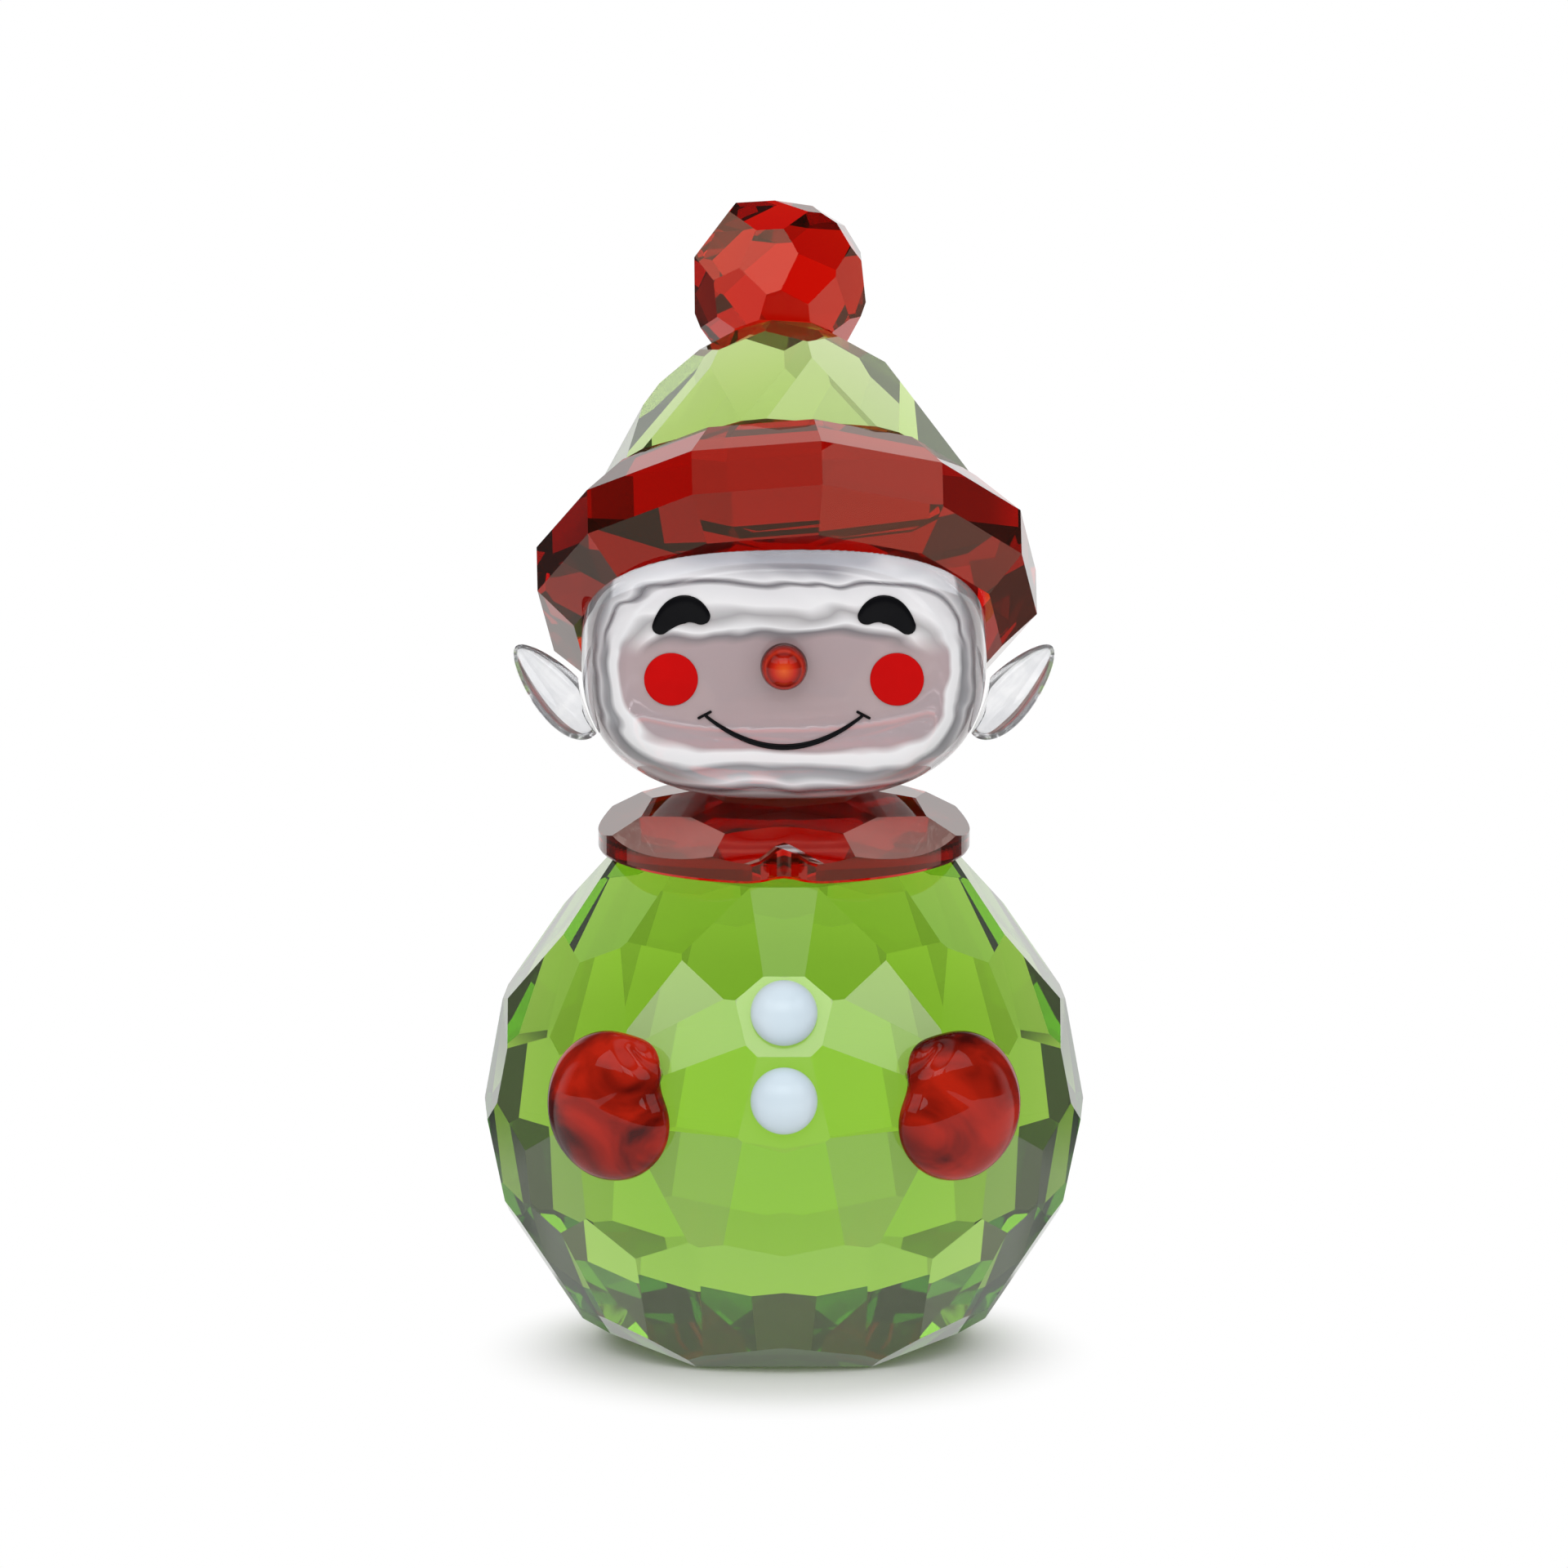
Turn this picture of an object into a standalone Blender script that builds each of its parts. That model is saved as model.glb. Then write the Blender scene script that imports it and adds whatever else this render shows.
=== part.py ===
"""Elf figurine: cut and polished crystal pieces stacked and glued into a small standing elf.

Metres, +Z up. The elf looks along -Y, with +X on the right of someone who faces it.
The origin is the middle of the flat foot that the body stands on.
"""

import math

import bmesh
import bpy
from mathutils import Matrix, Vector

MM = 0.001

# Glue lines and print
GLUE_LINE = 0.3 * MM
PRINT_LINE = 0.05 * MM
PRINT_THICKNESS = 0.15 * MM

# Working of the pieces: what is merged, and below which angle an edge is shown as smooth
WELD = 0.02 * MM
SLIVER = 0.01 * MM
SNAP = 0.0001 * MM
SMOOTH_BELOW = math.radians(35)

# Body: a stone close to a ball, with a flat foot and a flat top
BODY_RADIUS = 20.1 * MM
BODY_CENTRE_HEIGHT = 17.7 * MM
BODY_HEIGHT = 34.1 * MM

# Collar: a disc with a smooth edge and a notch in front, ground down from its neck to its edge
COLLAR_RADIUS = 12.8 * MM
COLLAR_EDGE_THICKNESS = 1.25 * MM
COLLAR_THICKNESS = 4.0 * MM
COLLAR_NECK_RADIUS = 5.4 * MM
COLLAR_STEP_RADIUS = 9.8 * MM
COLLAR_STEP_DROP = 1.0 * MM
COLLAR_NOTCH_DEPTH = 2.0 * MM
COLLAR_NOTCH_HALF_ANGLE = math.radians(6.5)
COLLAR_EDGE_ROUND = 0.45 * MM
COLLAR_FLAT_COUNT = 8
COLLAR_SIDES = 144
COLLAR_SMOOTH_BELOW = math.radians(12)
COLLAR_ROUND_ABOVE = math.radians(62)

# Head: a rounded block with a flat face in front
HEAD_HALF_WIDTH = 13.95 * MM
HEAD_HALF_DEPTH = 12.8 * MM
HEAD_HALF_HEIGHT = 9.7 * MM
HEAD_ROUNDNESS = 2.6
HEAD_RINGS = 22
HEAD_SIDES = 44
HEAD_SEAT_CUT = 0.25 * MM
FACE_DEPTH = 9.4 * MM
FACE_EDGE_ROUND = 0.5 * MM
FACE_ROUND_ABOVE = math.radians(32)

# Face, measured from the middle of the head
EYE_OUTER_END = (-8.8 * MM, 3.2 * MM)
EYE_TOP = (-7.0 * MM, 5.25 * MM)
EYE_INNER_END = (-5.3 * MM, 4.2 * MM)
EYE_END_HALF_WIDTH = 0.38 * MM
EYE_MIDDLE_HALF_WIDTH = 0.95 * MM
STROKE_SWELL = 0.8
EYE_LINE_STEPS = 14
CHEEK_PLACE = (7.75 * MM, 0.0 * MM)
CHEEK_RADIUS = 1.85 * MM
NOSE_RADIUS = 1.63 * MM
NOSE_HEIGHT = 1.1 * MM
NOSE_STANDS_OUT = 2.4 * MM
MOUTH_HALF_WIDTH = 5.45 * MM
MOUTH_END_HEIGHT = -2.5 * MM
MOUTH_MIDDLE_HEIGHT = -4.75 * MM
MOUTH_LINE_MIDDLE = 0.21 * MM
MOUTH_LINE_END = 0.1 * MM
MOUTH_TICK_LENGTH = 1.1 * MM
MOUTH_TICK_ANGLE = math.radians(28)

# Ears: leaves that point up and out from the sides of the head
EAR_LENGTH = 8.2 * MM
EAR_WIDTH = 3.5 * MM
EAR_THICKNESS = 3.0 * MM
EAR_TAPER = 0.24
EAR_POINT = 0.02
EAR_LEAN = math.radians(41.5)
EAR_SWEEP = math.radians(8)
EAR_REACH = 15.75 * MM
EAR_DROP = 2.8 * MM

# Hat: brim, crown and bobble on one leaning axis, square to the head's slanted seat
HAT_PITCH = math.radians(39.5)
HAT_ROLL = math.radians(-1.6)
SEAT_ABOVE_HEAD_CENTRE = 0.2 * MM
SEAT_BACKWARD = 2.9 * MM
SEAT_ASIDE = 0.3 * MM
BRIM_FOOT_RADIUS = 14.4 * MM
BRIM_RADIUS = 16.8 * MM
BRIM_TOP_RADIUS = 13.7 * MM
BRIM_FOOT_HEIGHT = 2.6 * MM
BRIM_BAND_HEIGHT = 3.4 * MM
BRIM_SHOULDER_HEIGHT = 3.4 * MM
BRIM_FLAT_COUNT = 12
BRIM_TURN = math.radians(-6)
CROWN_RADIUS = 13.2 * MM
CROWN_LOWER_RADIUS = 11.9 * MM
CROWN_UPPER_RADIUS = 8.0 * MM
CROWN_TOP_RADIUS = 3.9 * MM
CROWN_LOWER_HEIGHT = 3.0 * MM
CROWN_UPPER_HEIGHT = 9.4 * MM
CROWN_HEIGHT = 12.8 * MM
CROWN_FLAT_COUNT = 9
CROWN_TURN = math.radians(12)
BOBBLE_RADIUS = 5.8 * MM
BOBBLE_SEAT_DEPTH = 4.7 * MM
BOBBLE_TOP_HEIGHT = 4.4 * MM

# Buttons and mittens
BUTTON_RADIUS = 2.3 * MM
BUTTON_HEIGHT = 1.9 * MM
MITTEN_RADIUS = 5.2 * MM
MITTEN_HEIGHT = 3.2 * MM
MITTEN_BACK = 0.65 * MM
MITTEN_FULLNESS = 0.85
MITTEN_THUMB_ANGLE = math.radians(51)
MITTEN_THUMB_SIZE = 0.23
MITTEN_THUMB_SPREAD = 0.39
MITTEN_NOTCH_ANGLE = math.radians(33)
MITTEN_NOTCH_SIZE = 0.26
MITTEN_NOTCH_SPREAD = 0.66
MITTEN_RAISE = 0.45 * MM
MITTEN_INWARD = 0.72 * MM

# The body's flats as (azimuth, elevation, extra) in degrees and mm. Azimuth 0 is the front, and
# extra is how much deeper than BODY_RADIUS the flat is ground. Each flat is repeated on the other
# side of the middle, and again on the back.
UPPER_BUTTON_FLAT = (0, 26, 0.0)
LOWER_BUTTON_FLAT = (0, 9, 0.0)
MITTEN_FLAT = (36, 5, 0.0)
BODY_FLATS = (
    UPPER_BUTTON_FLAT,
    LOWER_BUTTON_FLAT,
    MITTEN_FLAT,
    (0, 43, 0.1),
    (17, 40, 0.2),
    (34, 47, 0.4),
    (25, 31, 0.1),
    (35, 35, 0.2),
    (18, 21, 0.0),
    (14, 12, 0.0),
    (49, 28, 0.3),
    (69, 27, 0.6),
    (90, 37, 1.0),
    (62, 46, 0.8),
    (62, 8, 0.1),
    (83, 10, 0.1),
    (5, -10, 0.0),
    (15, -8, 0.0),
    (33, -16, 0.0),
    (51, -14, -0.2),
    (71, -10, -0.2),
    (90, -12, -0.3),
    (10, -33, 0.0),
    (26, -31, -0.1),
    (43, -28, -0.1),
    (60, -29, -0.3),
    (79, -33, -0.4),
    (0, -60, -0.4),
    (60, -57, -0.4),
)

# The bobble's flats as (azimuth, elevation) in degrees. Each is repeated half a turn further on.
BOBBLE_FLATS = (
    (-4, 32),
    (-38, 4),
    (28, 4),
    (-5, -14),
    (21, -25),
    (8, -50),
    (-35, -34),
    (45, -38),
    (63, -16),
    (-72, -18),
    (70, 24),
    (-70, 34),
    (54, 45),
    (88, 4),
    (20, 50),
    (-84, -50),
)

COLOURS = {
    "green crystal": ((0.36, 0.62, 0.10, 1.0), 0.03),
    "red crystal": ((0.66, 0.03, 0.02, 1.0), 0.03),
    "clear crystal": ((0.86, 0.87, 0.90, 1.0), 0.03),
    "black enamel": ((0.01, 0.01, 0.012, 1.0), 0.35),
    "red enamel": ((0.75, 0.01, 0.01, 1.0), 0.4),
    "white pearl": ((0.78, 0.84, 0.88, 1.0), 0.3),
}


def clear_scene():
    """Removes what the scene holds."""
    for thing in list(bpy.data.objects):
        bpy.data.objects.remove(thing)


def new_collection(name):
    """A collection linked to the scene."""
    collection = bpy.data.collections.new(name)
    bpy.context.scene.collection.children.link(collection)
    return collection


def crystal_material(name):
    """One Principled material for each colour of the list above."""
    colour, roughness = COLOURS[name]
    material = bpy.data.materials.new(name)
    material.use_nodes = True
    shader = material.node_tree.nodes["Principled BSDF"]
    shader.inputs["Base Color"].default_value = colour
    shader.inputs["Roughness"].default_value = roughness
    shader.inputs["Metallic"].default_value = 0.0
    material.diffuse_color = colour
    return material


def direction(azimuth, elevation):
    """A unit vector: azimuth is turned from the front (-Y) towards +X, elevation up from level."""
    level = math.cos(elevation)
    return Vector((level * math.sin(azimuth), -level * math.cos(azimuth), math.sin(elevation)))


def frame_at(place, normal):
    """A frame at a place, whose Z is the normal and whose Y points as far up as it can."""
    right = Vector((0, 0, 1)).cross(normal).normalized()
    up = normal.cross(right)
    return Matrix.Translation(place) @ Matrix((right, up, normal)).transposed().to_4x4()


def grind(bm, point, normal):
    """Takes off all that lies beyond a plane, and closes the cut with one flat."""
    geometry = bm.verts[:] + bm.edges[:] + bm.faces[:]
    bmesh.ops.bisect_plane(
        bm, geom=geometry, dist=SNAP, plane_co=point, plane_no=normal, clear_outer=True
    )
    rim = [edge for edge in bm.edges if edge.is_boundary]
    if rim:
        bmesh.ops.holes_fill(bm, edges=rim, sides=0)


def finish_stone(bm, name, material, collection, frame, smooth_angle=None):
    """Turns a worked block into an object with its own material, placed by its frame."""
    bmesh.ops.remove_doubles(bm, verts=bm.verts, dist=WELD)
    bmesh.ops.dissolve_degenerate(bm, dist=SLIVER, edges=bm.edges)
    bmesh.ops.recalc_face_normals(bm, faces=bm.faces)
    mesh = bpy.data.meshes.new(name)
    bm.to_mesh(mesh)
    bm.free()
    if smooth_angle is not None:
        mesh.shade_smooth()
        mesh.set_sharp_from_angle(angle=smooth_angle)
    mesh.materials.append(material)
    stone = bpy.data.objects.new(name, mesh)
    collection.objects.link(stone)
    stone.matrix_world = frame
    return stone


def block(size):
    """A cube to cut a stone from."""
    bm = bmesh.new()
    bmesh.ops.create_cube(bm, size=size)
    return bm


def ring_of_flats(bm, lower, upper, flats, turn):
    """Grinds one tier: flats whose middles run from one (radius, height) to another."""
    slope = Vector((upper[1] - lower[1], lower[0] - upper[0])).normalized()
    for step in range(flats):
        azimuth = turn + 2 * math.pi * step / flats
        outward = direction(azimuth, 0)
        point = outward * lower[0] + Vector((0, 0, lower[1]))
        grind(bm, point, outward * slope.x + Vector((0, 0, slope.y)))


def body_flat_frame(flat):
    """The frame at the middle of one of the body's flats, with Z outwards."""
    azimuth, elevation, extra = flat
    outward = direction(math.radians(azimuth), math.radians(elevation))
    centre = Vector((0, 0, BODY_CENTRE_HEIGHT))
    return frame_at(centre + outward * (BODY_RADIUS - extra * MM), outward)


def make_body(material, collection):
    """The green stone: a block with every flat of the list ground off it."""
    bm = block(3 * BODY_RADIUS)
    centre = Vector((0, 0, BODY_CENTRE_HEIGHT))
    bmesh.ops.translate(bm, verts=bm.verts, vec=centre)
    done = set()
    for azimuth, elevation, extra in BODY_FLATS:
        for turned in (azimuth, -azimuth, 180 - azimuth, azimuth - 180):
            key = (round(turned) % 360, elevation)
            if key in done:
                continue
            done.add(key)
            flat = body_flat_frame((turned, elevation, extra))
            grind(bm, flat.translation, flat.col[2].to_3d())
    grind(bm, Vector((0, 0, 0)), Vector((0, 0, -1)))
    grind(bm, Vector((0, 0, BODY_HEIGHT)), Vector((0, 0, 1)))
    return finish_stone(bm, "body", material, collection, Matrix.Identity(4))


def collar_outline():
    """The collar's edge seen from above: a circle with a soft notch in front."""
    points = []
    for step in range(COLLAR_SIDES):
        azimuth = 2 * math.pi * step / COLLAR_SIDES
        from_front = (azimuth + math.pi) % (2 * math.pi) - math.pi
        notch = COLLAR_NOTCH_DEPTH * math.exp(-((from_front / COLLAR_NOTCH_HALF_ANGLE) ** 2))
        points.append(direction(azimuth, 0) * (COLLAR_RADIUS - notch))
    return points


def plate(outline, thickness, name):
    """A flat outline raised to a thickness, as a bmesh with its underside at z = 0."""
    curve = bpy.data.curves.new(name, "CURVE")
    curve.dimensions = "2D"
    curve.fill_mode = "BOTH"
    curve.extrude = thickness / 2
    spline = curve.splines.new("POLY")
    spline.points.add(len(outline) - 1)
    for point, place in zip(spline.points, outline):
        point.co = (place[0], place[1], 0, 1)
    spline.use_cyclic_u = True
    holder = bpy.data.objects.new(name, curve)
    bpy.context.scene.collection.objects.link(holder)
    bpy.context.view_layer.update()
    evaluated = holder.evaluated_get(bpy.context.evaluated_depsgraph_get())
    mesh = bpy.data.meshes.new_from_object(evaluated)
    bm = bmesh.new()
    bm.from_mesh(mesh)
    bpy.data.objects.remove(holder)
    bpy.data.meshes.remove(mesh)
    bmesh.ops.remove_doubles(bm, verts=bm.verts, dist=SLIVER / 2)
    bmesh.ops.dissolve_limit(bm, angle_limit=math.radians(1), verts=bm.verts, edges=bm.edges)
    bmesh.ops.recalc_face_normals(bm, faces=bm.faces)
    bmesh.ops.translate(bm, verts=bm.verts, vec=Vector((0, 0, thickness / 2)))
    return bm


def make_collar(material, collection):
    """The red collar: a notched disc, ground to two tiers of flats, with a softened edge."""
    bm = plate(collar_outline(), COLLAR_THICKNESS, "collar_blank")
    edge = (COLLAR_RADIUS, COLLAR_EDGE_THICKNESS)
    step = (COLLAR_STEP_RADIUS, COLLAR_THICKNESS - COLLAR_STEP_DROP)
    neck = (COLLAR_NECK_RADIUS, COLLAR_THICKNESS)
    half_turn = math.pi / COLLAR_FLAT_COUNT
    corner = (COLLAR_STEP_RADIUS / math.cos(half_turn), step[1])
    ring_of_flats(bm, edge, step, COLLAR_FLAT_COUNT, 0)
    ring_of_flats(bm, corner, neck, COLLAR_FLAT_COUNT, half_turn)
    place = Matrix.Translation((0, 0, BODY_HEIGHT + GLUE_LINE))
    collar = finish_stone(bm, "collar", material, collection, place, COLLAR_SMOOTH_BELOW)
    softened = collar.modifiers.new("softened edge", "BEVEL")
    softened.width = COLLAR_EDGE_ROUND
    softened.segments = 2
    softened.limit_method = "ANGLE"
    softened.angle_limit = COLLAR_ROUND_ABOVE
    return collar


def head_centre():
    """The middle of the head, which stands on the collar's neck."""
    seat = BODY_HEIGHT + GLUE_LINE + COLLAR_THICKNESS + GLUE_LINE
    return Vector((0, 0, seat - HEAD_SEAT_CUT + HEAD_HALF_HEIGHT))


def rounded_block(half_sizes, roundness, rings, sides):
    """A ball whose every point is moved onto |x/a|^n + |y/b|^n + |z/c|^n = 1."""
    bm = bmesh.new()
    bmesh.ops.create_uvsphere(bm, u_segments=sides, v_segments=rings, radius=1)
    for vertex in bm.verts:
        reach = sum(abs(value) ** roundness for value in vertex.co) ** (-1 / roundness)
        scaled = [value * reach * half for value, half in zip(vertex.co, half_sizes)]
        vertex.co = Vector(scaled)
    return bm


def hat_frame():
    """The hat's own frame: Z along its axis, and its origin on the head's slanted seat."""
    place = head_centre() + Vector((SEAT_ASIDE, SEAT_BACKWARD, SEAT_ABOVE_HEAD_CENTRE))
    turn = Matrix.Rotation(HAT_ROLL, 4, "Y") @ Matrix.Rotation(-HAT_PITCH, 4, "X")
    return Matrix.Translation(place) @ turn


def head_sizes(grown=0.0):
    """The head's half sizes, grown by a clearance."""
    return (HEAD_HALF_WIDTH + grown, HEAD_HALF_DEPTH + grown, HEAD_HALF_HEIGHT + grown)


def make_head(material, collection):
    """The clear head: a rounded block, cut flat for the face, the neck and the hat."""
    centre = head_centre()
    bm = rounded_block(head_sizes(), HEAD_ROUNDNESS, HEAD_RINGS, HEAD_SIDES)
    grind(bm, Vector((0, -FACE_DEPTH, 0)), Vector((0, -1, 0)))
    grind(bm, Vector((0, 0, HEAD_SEAT_CUT - HEAD_HALF_HEIGHT)), Vector((0, 0, -1)))
    hat = hat_frame()
    grind(bm, hat.translation - centre, hat.col[2].to_3d())
    head = finish_stone(bm, "head", material, collection, Matrix.Translation(centre), SMOOTH_BELOW)
    softened = head.modifiers.new("softened edges", "BEVEL")
    softened.width = FACE_EDGE_ROUND
    softened.segments = 2
    softened.limit_method = "ANGLE"
    softened.angle_limit = FACE_ROUND_ABOVE
    return head


def face_frame(standing_off):
    """A frame on the face: X to the right, Y up, Z out of it."""
    place = head_centre() + Vector((0, -FACE_DEPTH - standing_off, 0))
    return frame_at(place, Vector((0, -1, 0)))


def curve_through(start, middle, end, steps):
    """Points on the parabola that passes through three points, at 0, half and all of its way."""
    start = Vector(start)
    end = Vector(end)
    pull = 2 * Vector(middle) - (start + end) / 2
    ways = [step / steps for step in range(steps + 1)]
    return [(1 - t) ** 2 * start + 2 * t * (1 - t) * pull + t * t * end for t in ways]


def stroke_outline(line, end_half_width, middle_half_width, cap_steps=6):
    """The outline of a brush stroke along a line: widest in its middle, with round ends."""
    count = len(line) - 1
    sides = []
    for index, place in enumerate(line):
        along = (line[min(index + 1, count)] - line[max(index - 1, 0)]).normalized()
        swell = math.sin(math.pi * index / count) ** STROKE_SWELL
        half = end_half_width + (middle_half_width - end_half_width) * swell
        sides.append((place, along, half))
    outline = [place + half * Vector((-along.y, along.x)) for place, along, half in sides]
    outline += end_cap(sides[-1], 1, cap_steps)
    outline += [place - half * Vector((-along.y, along.x)) for place, along, half in reversed(sides)]
    outline += end_cap(sides[0], -1, cap_steps)
    return outline


def end_cap(side, sign, steps):
    """The points of a half circle round the end of a stroke, without its two ends."""
    place, along, half = side
    across = Vector((-along.y, along.x))
    turns = [math.pi * step / steps for step in range(1, steps)]
    return [place + sign * half * (math.cos(a) * across + math.sin(a) * along) for a in turns]


def make_eye(name, side, material, collection):
    """A black crescent that arches over a laughing eye."""
    ends = [(side * -x, y) for x, y in (EYE_OUTER_END, EYE_TOP, EYE_INNER_END)]
    line = curve_through(*ends, EYE_LINE_STEPS)
    outline = stroke_outline(line, EYE_END_HALF_WIDTH, EYE_MIDDLE_HALF_WIDTH)
    bm = plate(outline, PRINT_THICKNESS, name)
    return finish_stone(bm, name, material, collection, face_frame(PRINT_LINE))


def make_cheek(name, side, material, collection):
    """A round red spot."""
    bm = bmesh.new()
    bmesh.ops.create_cone(
        bm,
        cap_ends=True,
        segments=48,
        radius1=CHEEK_RADIUS,
        radius2=CHEEK_RADIUS,
        depth=PRINT_THICKNESS,
    )
    shift = Vector((side * CHEEK_PLACE[0], CHEEK_PLACE[1], PRINT_THICKNESS / 2))
    bmesh.ops.translate(bm, verts=bm.verts, vec=shift)
    return finish_stone(bm, name, material, collection, face_frame(PRINT_LINE))


def tick_outline(side):
    """The short stroke that ends the smile on one side."""
    middle = Vector((side * MOUTH_HALF_WIDTH, MOUTH_END_HEIGHT))
    reach = MOUTH_TICK_LENGTH / 2 * Vector((-side * math.cos(MOUTH_TICK_ANGLE), math.sin(MOUTH_TICK_ANGLE)))
    line = curve_through(middle - reach, middle, middle + reach, 4)
    return stroke_outline(line, MOUTH_LINE_END, MOUTH_LINE_END)


def make_mouth(material, collection, cutters):
    """A thin smiling line with a short tick at each end, printed in one."""
    start = (-MOUTH_HALF_WIDTH, MOUTH_END_HEIGHT)
    end = (MOUTH_HALF_WIDTH, MOUTH_END_HEIGHT)
    line = curve_through(start, (0, MOUTH_MIDDLE_HEIGHT), end, 30)
    outline = stroke_outline(line, MOUTH_LINE_END, MOUTH_LINE_MIDDLE)
    frame = face_frame(PRINT_LINE)
    mouth = finish_stone(plate(outline, PRINT_THICKNESS, "mouth"), "mouth", material, collection, frame)
    for side in (-1, 1):
        tick_name = "mouth_tick_left" if side < 0 else "mouth_tick_right"
        bm = plate(tick_outline(side), PRINT_THICKNESS, tick_name)
        tick = finish_stone(bm, tick_name, material, cutters, frame)
        hide_guide(tick)
        joined = mouth.modifiers.new(tick_name, "BOOLEAN")
        joined.operation = "UNION"
        joined.object = tick
    return mouth


def hide_guide(guide):
    """Keeps a cutter out of the picture."""
    guide.hide_render = True
    guide.display_type = "WIRE"


def make_nose(material, collection):
    """A red ball with a small flat behind, on the middle of the face."""
    bm = bmesh.new()
    bmesh.ops.create_uvsphere(bm, u_segments=28, v_segments=14, radius=NOSE_RADIUS)
    back = NOSE_STANDS_OUT - NOSE_RADIUS
    grind(bm, Vector((0, 0, -back)), Vector((0, 0, -1)))
    bmesh.ops.translate(bm, verts=bm.verts, vec=Vector((0, NOSE_HEIGHT, back)))
    return finish_stone(bm, "nose", material, collection, face_frame(GLUE_LINE), SMOOTH_BELOW)


def make_ear(name, side, material, collection, cutter):
    """A clear leaf with a blunt point, hollowed at its root to fit the head."""
    bm = bmesh.new()
    bmesh.ops.create_uvsphere(bm, u_segments=24, v_segments=18, radius=1)
    for vertex in bm.verts:
        x, y, z = vertex.co
        taper = (1 - EAR_TAPER * z) * (1 - EAR_POINT * z * z)
        vertex.co = Vector((x * taper * EAR_WIDTH / 2, y * taper * EAR_THICKNESS / 2, z * EAR_LENGTH / 2))
    place = head_centre() + Vector((side * EAR_REACH, 0, -EAR_DROP))
    turn = Matrix.Rotation(side * EAR_LEAN, 4, "Y") @ Matrix.Rotation(-EAR_SWEEP, 4, "X")
    ear = finish_stone(bm, name, material, collection, Matrix.Translation(place) @ turn, SMOOTH_BELOW)
    hollow = ear.modifiers.new("root fitted to the head", "BOOLEAN")
    hollow.operation = "DIFFERENCE"
    hollow.object = cutter
    return ear


def make_brim(material, collection):
    """The red brim: a foot, a band and a shoulder of flats round the hat's axis."""
    bm = block(5 * BRIM_RADIUS)
    foot = (BRIM_FOOT_RADIUS, GLUE_LINE)
    lower = (BRIM_RADIUS, foot[1] + BRIM_FOOT_HEIGHT)
    upper = (BRIM_RADIUS, lower[1] + BRIM_BAND_HEIGHT)
    top = (BRIM_TOP_RADIUS, brim_top())
    for below, above in ((foot, lower), (lower, upper), (upper, top)):
        ring_of_flats(bm, below, above, BRIM_FLAT_COUNT, BRIM_TURN)
    grind(bm, Vector((0, 0, foot[1])), Vector((0, 0, -1)))
    grind(bm, Vector((0, 0, top[1])), Vector((0, 0, 1)))
    return finish_stone(bm, "hat_brim", material, collection, hat_frame())


def brim_top():
    """How high the brim's upper flat lies over the seat."""
    return GLUE_LINE + BRIM_FOOT_HEIGHT + BRIM_BAND_HEIGHT + BRIM_SHOULDER_HEIGHT


def make_crown(material, collection):
    """The green crown: a dome of three tiers of flats on the brim."""
    bm = block(5 * CROWN_RADIUS)
    base = brim_top() + GLUE_LINE
    foot = (CROWN_RADIUS, base)
    lower = (CROWN_LOWER_RADIUS, base + CROWN_LOWER_HEIGHT)
    upper = (CROWN_UPPER_RADIUS, base + CROWN_UPPER_HEIGHT)
    top = (CROWN_TOP_RADIUS, base + CROWN_HEIGHT)
    half_turn = math.pi / CROWN_FLAT_COUNT
    ring_of_flats(bm, foot, lower, CROWN_FLAT_COUNT, CROWN_TURN)
    ring_of_flats(bm, lower, upper, CROWN_FLAT_COUNT, CROWN_TURN + half_turn)
    ring_of_flats(bm, upper, top, CROWN_FLAT_COUNT, CROWN_TURN)
    grind(bm, Vector((0, 0, base)), Vector((0, 0, -1)))
    grind(bm, Vector((0, 0, base + CROWN_HEIGHT)), Vector((0, 0, 1)))
    return finish_stone(bm, "hat_crown", material, collection, hat_frame())


def make_bobble(material, collection):
    """The red bobble: a ball of flats with a wider flat below, where it sits on the crown."""
    bm = block(4 * BOBBLE_RADIUS)
    for azimuth, elevation in BOBBLE_FLATS:
        for turned in (azimuth, azimuth + 180):
            outward = direction(math.radians(turned), math.radians(elevation))
            grind(bm, outward * BOBBLE_RADIUS, outward)
    grind(bm, Vector((0, 0, BOBBLE_TOP_HEIGHT)), Vector((0, 0, 1)))
    grind(bm, Vector((0, 0, -BOBBLE_SEAT_DEPTH)), Vector((0, 0, -1)))
    centre = brim_top() + GLUE_LINE + CROWN_HEIGHT + GLUE_LINE + BOBBLE_SEAT_DEPTH
    place = hat_frame() @ Matrix.Translation((0, 0, centre))
    return finish_stone(bm, "bobble", material, collection, place)


def make_button(name, flat, material, collection):
    """A white half pearl on one of the body's flats."""
    bm = bmesh.new()
    bmesh.ops.create_uvsphere(bm, u_segments=32, v_segments=16, radius=BUTTON_RADIUS)
    grind(bm, Vector((0, 0, 0)), Vector((0, 0, -1)))
    bmesh.ops.scale(bm, verts=bm.verts, vec=Vector((1, 1, BUTTON_HEIGHT / BUTTON_RADIUS)))
    place = body_flat_frame(flat) @ Matrix.Translation((0, 0, GLUE_LINE))
    return finish_stone(bm, name, material, collection, place, SMOOTH_BELOW)


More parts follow.
